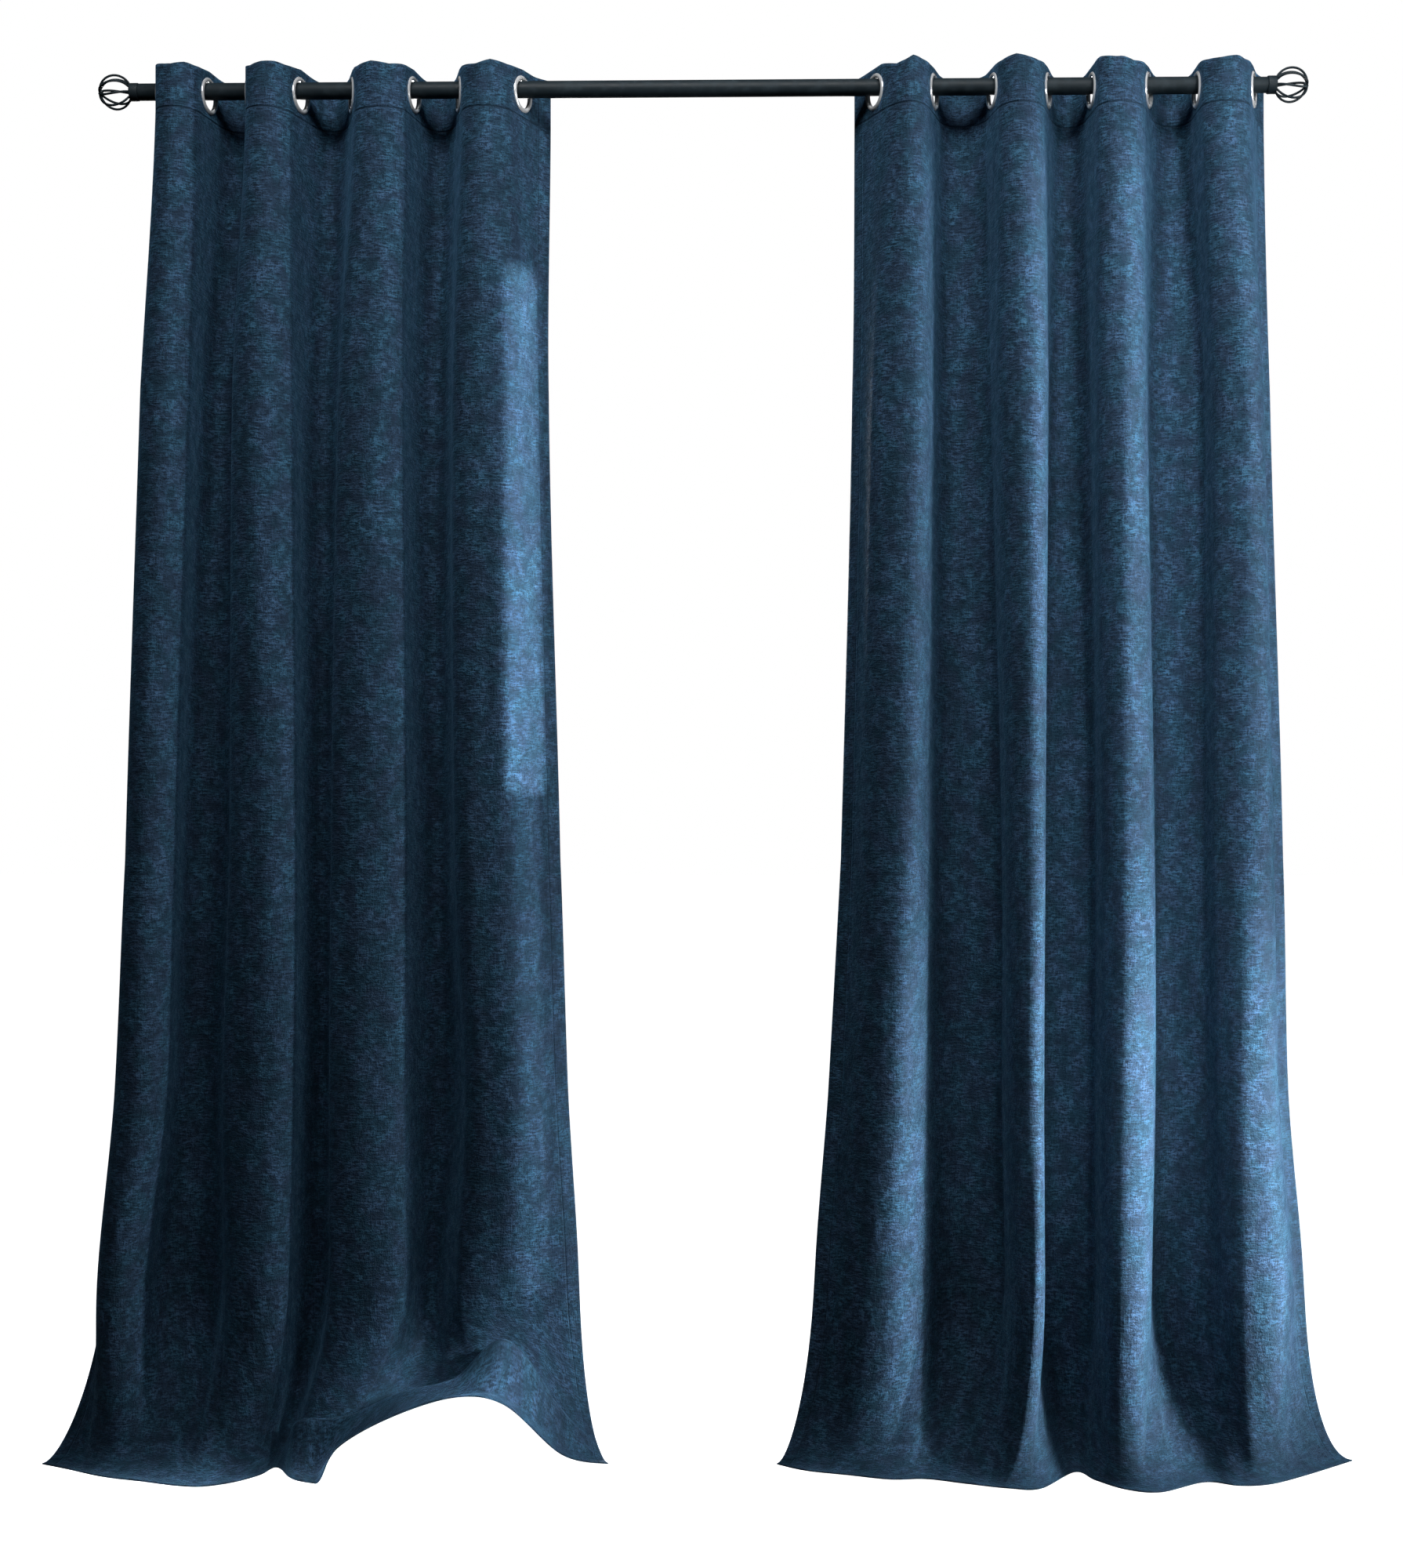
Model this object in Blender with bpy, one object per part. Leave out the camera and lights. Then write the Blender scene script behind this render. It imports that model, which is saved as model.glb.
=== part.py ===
"""A pair of eyelet curtains on a plain rod with wire ball finials.

Metres, +Z up, +X along the rod and -Y towards the room. The origin is the
middle of the rod's axis. Each panel is one sheet. It crosses the rod at its
eyelets, runs down in deep folds that widen towards the floor, and lies on
the floor at its hem. The left panel's hem is lifted near its right side.
"""

import math

import bpy
import bmesh
from mathutils import Matrix, Vector

# Rod and finials
ROD_DIAMETER = 0.025
ROD_HALF_LENGTH = 0.842
ROD_SIDES = 24
FINIAL_GAP = 0.0003
COLLAR_DIAMETER = 0.0265
COLLAR_LENGTH = 0.013
COLLAR_BEVEL = 0.0012
CAGE_LENGTH = 0.0475
CAGE_DIAMETER = 0.0525
CAGE_WIRES = 8
CAGE_WIRE_DIAMETER = 0.0029
CAGE_WIRE_SIDES = 4
CAGE_WIRE_STEPS = 8
CAGE_TWIST = math.radians(24)
CAGE_START_RADIUS = 0.0095
CAGE_KNOB_RADIUS = 0.0034
CAGE_WIRE_SEAT = 0.003

# Eyelet rings, clamped over the edge of a hole in the cloth
RING_OUTER_RADIUS = 0.027
RING_INNER_RADIUS = 0.020
RING_BARREL_RADIUS = 0.022
RING_FLANGE = 0.0014
RING_SIDES = 16
RING_SAG = 0.007
FIT_GAP = 0.0003

# Cloth
CLOTH_THICKNESS = 0.002
PANEL_WIDTH = 1.27
PANEL_DROP = 2.13
EYELETS = 8
EYELET_SPACING = 0.160
EDGE_ALLOWANCE = (PANEL_WIDTH - (EYELETS - 1) * EYELET_SPACING) / 2
FLAT_AT_EYELET = 0.028
HEADING_ABOVE_ROD = 0.028
HEADING_DEPTH = 0.070
FLOOR_BELOW_ROD = 2.050
HOLE_SIDES = 24
PUNCH_DEPTH = 6 * CLOTH_THICKNESS

# How the cloth runs between its measured lines. The eyelets set a fold's
# flanks at the heading. Below HANGS_FREE, counted in sections, the flanks turn
# by themselves, and less of the cloth beside an eyelet line is flat.
HANGS_FREE = 1.5
FLAT_LOST_BELOW = 0.55
SIDE_PULLED_IN = 0.15
SIDE_STRAIGHT = 0.35
SIDE_ROOT = 0.40
SHORTEST_HANDLE = 0.30
WIDEST_FOLD = 0.98
LENGTH_STEPS = 24
HANDLE_ROUNDS = 30
FALL_TOWARDS_BEND = 0.45
FALL_REACH = 0.62
BEND_REACH = 0.80

# Mesh density
LOOP_STEPS = 6
FLAP_STEPS = 2
FOOT_START = 1.824
ROW_DROPS = (0.0, HEADING_DEPTH, 0.17, 0.31, 0.50, 0.76, 1.02, 1.28, 1.50, 1.68,
             FOOT_START, 1.90, 1.96, 2.00, 2.03, 2.06, 2.09, PANEL_DROP)

# Height of each section at which the folds are measured, and how far the
# sheet's middle stands ahead of the rod there
SECTION_COLUMNS = ("name", "height", "ahead")
SECTIONS = (
    ("heading", -0.041, 0.000),
    ("chest", -0.450, 0.002),
    ("middle", -1.152, 0.008),
    ("knee", -1.503, 0.012),
    ("shin", HEADING_ABOVE_ROD - FOOT_START, 0.018),
)

# Where each fold's flank crosses the middle of the sheet, along X, section by
# section. The first and last rows are the side edges, with "lean" as their
# distance behind the middle. For an eyelet "lean" is the flank's turn away
# from square to the rod, in degrees, and "swing" is how far the fold after it
# leans over to its right, or to its left where it is below zero.
FOLD_COLUMNS = ("flank", "lean", "swing", "heading", "chest", "middle", "knee", "shin")
LEFT_FOLDS = (
    ("side", 0.060, 0.00, -0.800, -0.815, -0.837, -0.860, -0.894),
    ("eyelet 1", 5.0, 0.10, -0.810, -0.832, -0.852, -0.869, -0.890),
    ("eyelet 2", 11.4, 0.00, -0.737, -0.757, -0.780, -0.792, -0.821),
    ("eyelet 3", 5.0, 0.15, -0.676, -0.696, -0.702, -0.712, -0.708),
    ("eyelet 4", 16.3, 0.00, -0.599, -0.603, -0.600, -0.601, -0.608),
    ("eyelet 5", 17.6, 0.10, -0.521, -0.540, -0.549, -0.551, -0.550),
    ("eyelet 6", 11.9, 0.00, -0.429, -0.439, -0.433, -0.433, -0.433),
    ("eyelet 7", 14.7, 0.10, -0.360, -0.370, -0.366, -0.351, -0.366),
    ("eyelet 8", 23.3, 0.00, -0.266, -0.258, -0.244, -0.228, -0.214),
    ("side", 0.055, 0.00, -0.229, -0.231, -0.212, -0.199, -0.181),
)
RIGHT_FOLDS = (
    ("side", 0.055, 0.00, 0.234, 0.230, 0.212, 0.192, 0.170),
    ("eyelet 1", 24.6, 0.45, 0.261, 0.250, 0.236, 0.222, 0.204),
    ("eyelet 2", 18.4, -0.75, 0.348, 0.346, 0.340, 0.336, 0.334),
    ("eyelet 3", 10.5, 0.12, 0.436, 0.439, 0.452, 0.452, 0.456),
    ("eyelet 4", 17.6, -0.30, 0.517, 0.516, 0.506, 0.503, 0.502),
    ("eyelet 5", 5.0, 0.05, 0.583, 0.586, 0.593, 0.591, 0.591),
    ("eyelet 6", 21.7, -0.45, 0.666, 0.664, 0.671, 0.672, 0.666),
    ("eyelet 7", 1.0, 0.36, 0.739, 0.756, 0.757, 0.761, 0.766),
    ("eyelet 8", 20.5, 0.00, 0.821, 0.832, 0.848, 0.855, 0.876),
    ("side", 0.055, 0.00, 0.850, 0.857, 0.873, 0.878, 0.898),
)

# The hem, and the bend above it where the cloth turns forward. Rows follow
# the sheet from side to side; "across" is the place along the cloth in eyelet
# spacings. X places are across the room, "out" is ahead of the rod and "up"
# is above the floor. "lip" is the height of the ridge that stands between the
# bend and the hem where the hem is lifted.
FOOT_COLUMNS = ("across", "hem_x", "hem_out", "hem_up", "bend_x", "bend_out", "bend_up", "lip")
LEFT_FOOT = (
    (-0.5, -0.980, 0.029, 0.000, -0.953, 0.019, 0.000, 0.000),
    (0.0, -0.937, 0.050, 0.000, -0.924, 0.018, 0.002, 0.000),
    (0.5, -0.872, 0.084, 0.000, -0.868, 0.036, 0.004, 0.000),
    (1.0, -0.806, 0.104, 0.000, -0.808, 0.042, 0.006, 0.000),
    (1.5, -0.757, 0.120, 0.000, -0.765, 0.064, 0.006, 0.000),
    (2.0, -0.716, 0.124, 0.000, -0.724, 0.092, 0.006, 0.000),
    (2.5, -0.675, 0.105, 0.000, -0.682, 0.050, 0.005, 0.000),
    (3.0, -0.643, 0.072, 0.000, -0.648, 0.022, 0.004, 0.000),
    (3.5, -0.626, 0.038, 0.000, -0.628, -0.020, 0.004, 0.000),
    (4.0, -0.592, 0.090, 0.000, -0.608, 0.040, 0.034, 0.046),
    (4.5, -0.552, 0.111, 0.001, -0.568, 0.030, 0.044, 0.052),
    (5.0, -0.519, 0.132, 0.058, -0.508, 0.030, 0.052, 0.026),
    (5.5, -0.440, 0.158, 0.111, -0.430, 0.020, 0.070, 0.024),
    (6.0, -0.350, 0.165, 0.142, -0.350, 0.030, 0.098, 0.022),
    (6.5, -0.276, 0.153, 0.129, -0.276, 0.046, 0.136, 0.072),
    (7.0, -0.199, 0.084, 0.036, -0.222, 0.030, 0.066, 0.042),
    (7.5, -0.134, 0.014, 0.000, -0.160, 0.004, 0.004, 0.000),
)
RIGHT_FOOT = (
    (-0.5, 0.113, 0.008, 0.000, 0.134, 0.000, 0.002, 0.000),
    (0.0, 0.156, 0.037, 0.000, 0.174, 0.002, 0.003, 0.000),
    (0.5, 0.218, 0.056, 0.000, 0.238, 0.018, 0.004, 0.000),
    (1.0, 0.279, 0.074, 0.000, 0.296, 0.028, 0.005, 0.000),
    (1.5, 0.331, 0.071, 0.000, 0.347, 0.016, 0.004, 0.000),
    (2.0, 0.386, 0.090, 0.000, 0.404, 0.030, 0.005, 0.000),
    (2.5, 0.446, 0.109, 0.000, 0.472, 0.066, 0.006, 0.000),
    (3.0, 0.492, 0.109, 0.000, 0.496, 0.046, 0.005, 0.000),
    (3.5, 0.552, 0.036, 0.000, 0.554, -0.020, 0.004, 0.000),
    (4.0, 0.576, 0.071, 0.000, 0.580, 0.018, 0.004, 0.000),
    (4.5, 0.613, 0.110, 0.000, 0.616, 0.060, 0.006, 0.000),
    (5.0, 0.661, 0.121, 0.000, 0.660, 0.050, 0.006, 0.000),
    (5.5, 0.733, 0.077, 0.000, 0.736, 0.014, 0.004, 0.000),
    (6.0, 0.779, 0.091, 0.000, 0.782, 0.030, 0.005, 0.000),
    (6.5, 0.826, 0.084, 0.000, 0.822, 0.040, 0.006, 0.000),
    (7.0, 0.889, 0.043, 0.000, 0.884, 0.000, 0.004, 0.000),
    (7.5, 0.978, -0.026, 0.000, 0.930, -0.030, 0.002, 0.000),
)
LIP_AT = 0.771
LIP_REACH = 0.13

# How far the top edge stands above or below its level, across the cloth in
# eyelet spacings: the heading sinks a little at the front of each fold and
# has a low peak there.
HEADING_COLUMNS = ("across", "rise")
LEFT_HEADING = (
    (0.10, 0.0000), (0.30, -0.0030), (0.43, -0.0065), (0.50, -0.0070), (0.64, -0.0025),
    (0.74, -0.0035), (1.00, 0.0020), (1.50, 0.0000), (2.10, 0.0000), (2.36, -0.0080),
    (2.50, -0.0040), (2.64, -0.0020), (2.74, -0.0032), (3.00, 0.0040), (3.50, 0.0000),
    (4.05, 0.0000), (4.26, -0.0045), (4.43, -0.0015), (4.60, -0.0063), (4.74, -0.0026),
    (5.00, 0.0025), (5.50, 0.0000), (6.05, 0.0010), (6.26, -0.0045), (6.42, -0.0077),
    (6.57, -0.0010), (6.74, -0.0033), (7.00, 0.0018), (7.50, 0.0020),
)
RIGHT_HEADING = (
    (0.15, 0.0000), (0.26, -0.0055), (0.36, -0.0106), (0.48, -0.0075), (0.57, -0.0013),
    (0.70, -0.0045), (1.00, 0.0000), (2.10, 0.0000), (2.25, -0.0030), (2.43, 0.0003),
    (2.57, -0.0042), (2.69, -0.0063), (3.00, 0.0000), (4.10, 0.0000), (4.26, 0.0010),
    (4.45, -0.0046), (4.52, -0.0040), (4.64, -0.0086), (4.80, -0.0040), (5.00, 0.0000),
    (6.10, 0.0000), (6.31, -0.0055), (6.45, -0.0064), (6.62, -0.0025), (6.70, -0.0062),
    (7.00, 0.0000),
)

# Colours, and the turn between faces that is still shaded smooth
BLACK_METAL = (0.030, 0.038, 0.045)
BRIGHT_METAL = (0.62, 0.65, 0.68)
LEFT_CLOTH = (0.020, 0.048, 0.085)
RIGHT_CLOTH = (0.022, 0.053, 0.093)
ROUND_TURN = 35
WIRE_TURN = 45


def clear_scene():
    """Remove whatever the scene holds."""
    for item in list(bpy.data.objects):
        bpy.data.objects.remove(item, do_unlink=True)


def material(name, color, roughness, metallic=0.0):
    """A plain material with one colour."""
    made = bpy.data.materials.new(name)
    made.use_nodes = True
    shader = made.node_tree.nodes["Principled BSDF"]
    shader.inputs["Base Color"].default_value = (*color, 1.0)
    shader.inputs["Roughness"].default_value = roughness
    shader.inputs["Metallic"].default_value = metallic
    return made


def add_object(name, mesh_data, surface):
    """Turn a bmesh into an object in the scene."""
    mesh = bpy.data.meshes.new(name)
    mesh_data.to_mesh(mesh)
    mesh_data.free()
    if surface:
        mesh.materials.append(surface)
    made = bpy.data.objects.new(name, mesh)
    bpy.context.collection.objects.link(made)
    return made


def hide_cutter(cutter):
    """Mark an object as a guide that isn't part of the model."""
    cutter.hide_render = True
    cutter.display_type = "WIRE"


def combine(target, other, operation):
    """Join or cut one solid with another and keep it as a live modifier."""
    boolean = target.modifiers.new(operation.title(), "BOOLEAN")
    boolean.operation = operation
    boolean.object = other
    boolean.solver = "EXACT"
    boolean.use_self = operation == "UNION"
    hide_cutter(other)


def smooth(target, angle=ROUND_TURN):
    """Shade a round piece smooth and keep its true edges sharp."""
    target.data.shade_smooth()
    target.data.set_sharp_from_angle(angle=math.radians(angle))


def hermite(before, start, end, after, t):
    """Catmull-Rom value between start and end for evenly spaced neighbours."""
    pull_start = (end - before) / 2
    pull_end = (after - start) / 2
    return (start * (2 * t ** 3 - 3 * t ** 2 + 1) + pull_start * (t ** 3 - 2 * t ** 2 + t)
            + end * (3 * t ** 2 - 2 * t ** 3) + pull_end * (t ** 3 - t ** 2))


def bezier(a, b, c, d, t):
    """Point on a cubic curve."""
    s = 1 - t
    return a * s ** 3 + b * (3 * s * s * t) + c * (3 * s * t * t) + d * t ** 3


def curve_length(a, b, c, d):
    """Length of a cubic curve."""
    points = [bezier(a, b, c, d, step / LENGTH_STEPS) for step in range(LENGTH_STEPS + 1)]
    return sum((q - p).length for p, q in zip(points, points[1:]))


def loop_handle(start, start_way, end, end_way, length, swing):
    """Handle length that gives a fold between two flanks its length of cloth."""
    low, high = (end - start).length * SHORTEST_HANDLE, length
    for _ in range(HANDLE_ROUNDS):
        handle = (low + high) / 2
        now = curve_length(start, start + start_way * handle * (1 - swing),
                           end - end_way * handle * (1 + swing), end)
        if now > length:
            high = handle
        else:
            low = handle
    return (low + high) / 2


def natural_lean(chord):
    """Turn of a hanging fold's flank from square to the rod, in radians."""
    share = min(chord / EYELET_SPACING, WIDEST_FOLD)
    return math.pi / 2 - math.sqrt(8 * (1 - math.sqrt(share)))


def flank_way(number, lean):
    """Direction of the cloth at an eyelet line, followed from side to side."""
    towards_room = -1 if number % 2 == 0 else 1
    return Vector((math.sin(lean), towards_room * math.cos(lean)))


def section_points(folds, section):
    """Plan of the sheet at one section: points from side to side."""
    level = dict(zip(SECTION_COLUMNS, SECTIONS[section]))
    column = FOLD_COLUMNS.index(level["name"])
    spots = [Vector((row[column], -level["ahead"])) for row in folds]
    crossings = spots[1:-1]
    chords = [(q - p).length for p, q in zip(crossings, crossings[1:])]
    chords = [chords[0]] + chords + [chords[-1]]
    hung = min(section / HANGS_FREE, 1.0)
    ways = []
    for number, row in enumerate(folds[1:-1]):
        free = natural_lean((chords[number] + chords[number + 1]) / 2)
        lean = (1 - hung) * math.radians(row[1]) + hung * free
        ways.append(flank_way(number, lean))
    flat = FLAT_AT_EYELET * (1 - FLAT_LOST_BELOW * hung)

    behind = 1 - SIDE_PULLED_IN * section
    left_edge = spots[0] + Vector((0, folds[0][1] * behind))
    right_edge = spots[-1] + Vector((0, folds[-1][1] * behind))
    points = flap(left_edge, crossings[0] - ways[0] * flat, -ways[0])
    for number, crossing in enumerate(crossings):
        start = crossing + ways[number] * flat
        if number == len(crossings) - 1:
            points.extend(reversed(flap(right_edge, start, ways[number])))
            break
        end = crossings[number + 1] - ways[number + 1] * flat
        swing = folds[number + 1][FOLD_COLUMNS.index("swing")] * (1 + hung) / 2
        handle = loop_handle(start, ways[number], end, ways[number + 1],
                             EYELET_SPACING - 2 * flat, swing)
        for step in range(LOOP_STEPS + 1):
            points.append(bezier(start, start + ways[number] * handle * (1 - swing),
                                 end - ways[number + 1] * handle * (1 + swing), end,
                                 step / LOOP_STEPS))
    return [Vector((p.x, p.y, level["height"])) for p in points]


def flap(edge, root, way):
    """The cloth outside the last eyelet, from its side edge to the flank."""
    reach = (edge - root).length * SIDE_ROOT
    return [bezier(edge, edge + (root - edge) * SIDE_STRAIGHT, root + way * reach, root,
                   step / FLAP_STEPS) for step in range(FLAP_STEPS + 1)]


def column_places():
    """Place of each mesh column across the cloth, in eyelet spacings."""
    flat = FLAT_AT_EYELET / EYELET_SPACING
    edge = EDGE_ALLOWANCE / EYELET_SPACING
    places = [-edge + (edge - flat) * step / FLAP_STEPS for step in range(FLAP_STEPS + 1)]
    for loop in range(EYELETS - 1):
        span = 1 - 2 * flat
        places.extend(loop + flat + span * step / LOOP_STEPS for step in range(LOOP_STEPS + 1))
    last = EYELETS - 1 + flat
    places.extend(last + (edge - flat) * step / FLAP_STEPS for step in range(FLAP_STEPS + 1))
    return places


def foot_values(foot, place, names):
    """Values of the foot table at a place across the cloth."""
    where = min(max((place - foot[0][0]) * 2, 0), len(foot) - 1)
    row = min(int(where), len(foot) - 2)
    rows = [foot[min(max(row + shift, 0), len(foot) - 1)] for shift in (-1, 0, 1, 2)]
    return [hermite(*[r[FOOT_COLUMNS.index(name)] for r in rows], where - row) for name in names]


def foot_point(foot, place, kind):
    """Point of the hem or of the bend above it, at a place across the cloth."""
    x, out, up = foot_values(foot, place, (kind + "_x", kind + "_out", kind + "_up"))
    return Vector((x, -out, CLOTH_THICKNESS / 2 + max(up, 0) - FLOOR_BELOW_ROD))


def hang(levels, height):
    """Plan point at a height, from the section points above and below it."""
    heights = [level.z for level in levels]
    if height >= heights[0]:
        return Vector((levels[0].x, levels[0].y, height))
    below = next(i for i, z in enumerate(heights) if z <= height + 1e-9)
    upper, lower = levels[below - 1], levels[below]
    before = levels[max(below - 2, 0)]
    after = levels[min(below + 1, len(levels) - 1)]
    t = (upper.z - height) / (upper.z - lower.z)
    place = hermite(before, upper, lower, after, t)
    return Vector((place.x, place.y, height))


def foot_path(start, foot, place, t):
    """Run of the cloth from the last section down to the hem."""
    hem = foot_point(foot, place, "hem")
    bend = foot_point(foot, place, "bend")
    fall = Vector((start.x, start.y, bend.z)).lerp(bend, FALL_TOWARDS_BEND)
    upper = start.lerp(fall, FALL_REACH)
    lower = hem.lerp(bend, BEND_REACH)
    point = bezier(start, upper, lower, hem, t)
    lip = max(foot_values(foot, place, ("lip",))[0], 0)
    point.z += lip * max(0, 1 - abs(t - LIP_AT) / LIP_REACH)
    return point


def heading_rise(heading, place):
    """Height of the top edge over its level, at a place across the cloth."""
    across, rise = (HEADING_COLUMNS.index(name) for name in ("across", "rise"))
    if place <= heading[0][across]:
        return heading[0][rise]
    for left, right in zip(heading, heading[1:]):
        if place <= right[across]:
            share = (place - left[across]) / (right[across] - left[across])
            return left[rise] + (right[rise] - left[rise]) * share
    return heading[-1][rise]


def panel_rows(folds, foot, heading):
    """Grid of points on the middle of the sheet, row by row from the top."""
    sections = [section_points(folds, number) for number in range(len(SECTIONS))]
    places = column_places()
    rows = []
    for drop in ROW_DROPS:
        row = []
        for column, place in enumerate(places):
            levels = [section[column] for section in sections]
            if drop <= FOOT_START:
                row.append(hang(levels, HEADING_ABOVE_ROD - drop))
                continue
            t = (drop - FOOT_START) / (PANEL_DROP - FOOT_START)
            row.append(foot_path(levels[-1], foot, place, t))
        rows.append(row)
    for point, place in zip(rows[0], places):
        point.z += heading_rise(heading, place)
    return rows


def build_panel(name, folds, foot, heading, surface):
    """One curtain panel as a sheet with its eyelet holes cut through."""
    mesh_data = bmesh.new()
    rows = [[mesh_data.verts.new(point) for point in row]
            for row in panel_rows(folds, foot, heading)]
    for upper, lower in zip(rows, rows[1:]):
        for i in range(len(upper) - 1):
            mesh_data.faces.new((upper[i], lower[i], lower[i + 1], upper[i + 1]))
    panel = add_object(name, mesh_data, surface)
    sheet = panel.modifiers.new("Thickness", "SOLIDIFY")
    sheet.thickness = CLOTH_THICKNESS
    sheet.offset = 0
    sheet.use_even_offset = True
    combine(panel, eyelet_punch(name + "_punch", folds), "DIFFERENCE")
    return panel


def eyelet_places(folds):
    """Placement of each eyelet: its axis is square to the cloth."""
    for number, row in enumerate(folds[1:-1]):
        way = flank_way(number, math.radians(row[1]))
        turn = Matrix.Rotation(math.atan2(way.y, way.x), 4, "Z")
        spot = Vector((row[FOLD_COLUMNS.index("heading")], 0, -RING_SAG))
        yield number + 1, Matrix.Translation(spot) @ turn @ Matrix.Rotation(math.pi / 2, 4, "X")


def eyelet_punch(name, folds):
    """The holes of one panel, as short cylinders."""
    mesh_data = bmesh.new()
    radius = RING_BARREL_RADIUS + FIT_GAP
    for _, place in eyelet_places(folds):
        bmesh.ops.create_cone(mesh_data, cap_ends=True, segments=HOLE_SIDES,
                              radius1=radius / math.cos(math.pi / HOLE_SIDES),
                              radius2=radius / math.cos(math.pi / HOLE_SIDES),
                              depth=PUNCH_DEPTH, matrix=place)
    return add_object(name, mesh_data, None)


def build_eyelets(side, folds, surface):
    """Metal rings: a barrel through the cloth with a flange on each face."""
    inner = CLOTH_THICKNESS / 2 + FIT_GAP
    outer = inner + RING_FLANGE
    profile = ((RING_INNER_RADIUS, -outer), (RING_OUTER_RADIUS, -outer),
               (RING_OUTER_RADIUS, -inner), (RING_BARREL_RADIUS, -inner),
               (RING_BARREL_RADIUS, inner), (RING_OUTER_RADIUS, inner),
               (RING_OUTER_RADIUS, outer), (RING_INNER_RADIUS, outer))
    for number, place in eyelet_places(folds):
        mesh_data = bmesh.new()
        turned(mesh_data, profile, RING_SIDES)
        mesh_data.transform(place @ Matrix.Rotation(math.pi / 2, 4, "Z"))
        ring = add_object(f"eyelet_{side}_{number}", mesh_data, surface)
        smooth(ring)


def turned(mesh_data, profile, sides):
    """A closed ring turned about Z from a closed profile of radius and height."""
    rings = []
    for side in range(sides):
        angle = 2 * math.pi * side / sides
        rings.append([mesh_data.verts.new((radius * math.cos(angle), radius * math.sin(angle), z))
                      for radius, z in profile])
    count = len(profile)
    for side in range(sides):
        here, there = rings[side], rings[(side + 1) % sides]
        for i in range(count):
            k = (i + 1) % count
            mesh_data.faces.new((here[i], there[i], there[k], here[k]))
    bmesh.ops.recalc_face_normals(mesh_data, faces=mesh_data.faces)


def build_rod(surface):
    """The tube that both panels hang on."""
    mesh_data = bmesh.new()
    turn = Matrix.Rotation(math.pi / 2, 4, "Y")
    bmesh.ops.create_cone(mesh_data, cap_ends=True, segments=ROD_SIDES,
                          radius1=ROD_DIAMETER / 2, radius2=ROD_DIAMETER / 2,
                          depth=2 * ROD_HALF_LENGTH, matrix=turn)
    smooth(add_object("rod", mesh_data, surface))


def cage_wire_points(number, side):
    """Centre line of one wire, bowed from the collar to the knob."""
    reach = (CAGE_DIAMETER - CAGE_WIRE_DIAMETER) / 2
    half = (CAGE_LENGTH - CAGE_KNOB_RADIUS) / 2
    middle = ROD_HALF_LENGTH + FINIAL_GAP + COLLAR_LENGTH + half
    first = math.asin(CAGE_START_RADIUS / reach)
    points = []
    for step in range(CAGE_WIRE_STEPS + 1):
        share = step / CAGE_WIRE_STEPS
        polar = first + (math.pi - first) * share
        around = 2 * math.pi * (number + 0.5) / CAGE_WIRES + CAGE_TWIST * (share - 0.5)
        radius = reach * math.sin(polar)
        along = middle - half * math.cos(polar) / math.cos(first)
        points.append(Vector((side * along, radius * math.cos(around), radius * math.sin(around))))
    inward = Vector((side * -CAGE_WIRE_SEAT, 0, 0))
    return [points[0] + inward] + points


def add_wire(mesh_data, points):
    """A thin closed tube along a list of points."""
    rings = []
    for i, point in enumerate(points):
        way = (points[min(i + 1, len(points) - 1)] - points[max(i - 1, 0)]).normalized()
        outward = Vector((0, point.y, point.z))
        if outward.length < CAGE_KNOB_RADIUS / 2:
            outward = Vector((0, points[-3].y, points[-3].z))
        across = way.cross(outward).normalized()
        upright = across.cross(way)
        ring = []
        for corner in range(CAGE_WIRE_SIDES):
            angle = 2 * math.pi * corner / CAGE_WIRE_SIDES
            shift = (across * math.cos(angle) + upright * math.sin(angle)) * CAGE_WIRE_DIAMETER / 2
            ring.append(mesh_data.verts.new(point + shift))
        rings.append(ring)
    for here, there in zip(rings, rings[1:]):
        for i in range(CAGE_WIRE_SIDES):
            k = (i + 1) % CAGE_WIRE_SIDES
            mesh_data.faces.new((here[i], here[k], there[k], there[i]))
    mesh_data.faces.new(reversed(rings[0]))
    mesh_data.faces.new(rings[-1])


def build_finial(name, side, surface):
    """A collar that closes the rod's end, with a ball of bowed wires."""
    start = ROD_HALF_LENGTH + FINIAL_GAP
    mesh_data = bmesh.new()
    place = Matrix.Translation((side * (start + COLLAR_LENGTH / 2), 0, 0))
    bmesh.ops.create_cone(mesh_data, cap_ends=True, segments=ROD_SIDES,
                          radius1=COLLAR_DIAMETER / 2, radius2=COLLAR_DIAMETER / 2,
                          depth=COLLAR_LENGTH, matrix=place @ Matrix.Rotation(math.pi / 2, 4, "Y"))
    rims = [edge for edge in mesh_data.edges if any(len(face.verts) > 4 for face in edge.link_faces)]
    bmesh.ops.bevel(mesh_data, geom=rims, offset=COLLAR_BEVEL, segments=1, affect="EDGES")
    finial = add_object(name, mesh_data, surface)

    wires = bmesh.new()
    for number in range(CAGE_WIRES):
        add_wire(wires, cage_wire_points(number, side))
    tip = start + COLLAR_LENGTH + CAGE_LENGTH - CAGE_KNOB_RADIUS
    bmesh.ops.create_icosphere(wires, subdivisions=2, radius=CAGE_KNOB_RADIUS,
                               matrix=Matrix.Translation((side * tip, 0, 0)))
    bmesh.ops.recalc_face_normals(wires, faces=wires.faces)
    combine(finial, add_object(name + "_cage", wires, None), "UNION")
    smooth(finial, WIRE_TURN)


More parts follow.
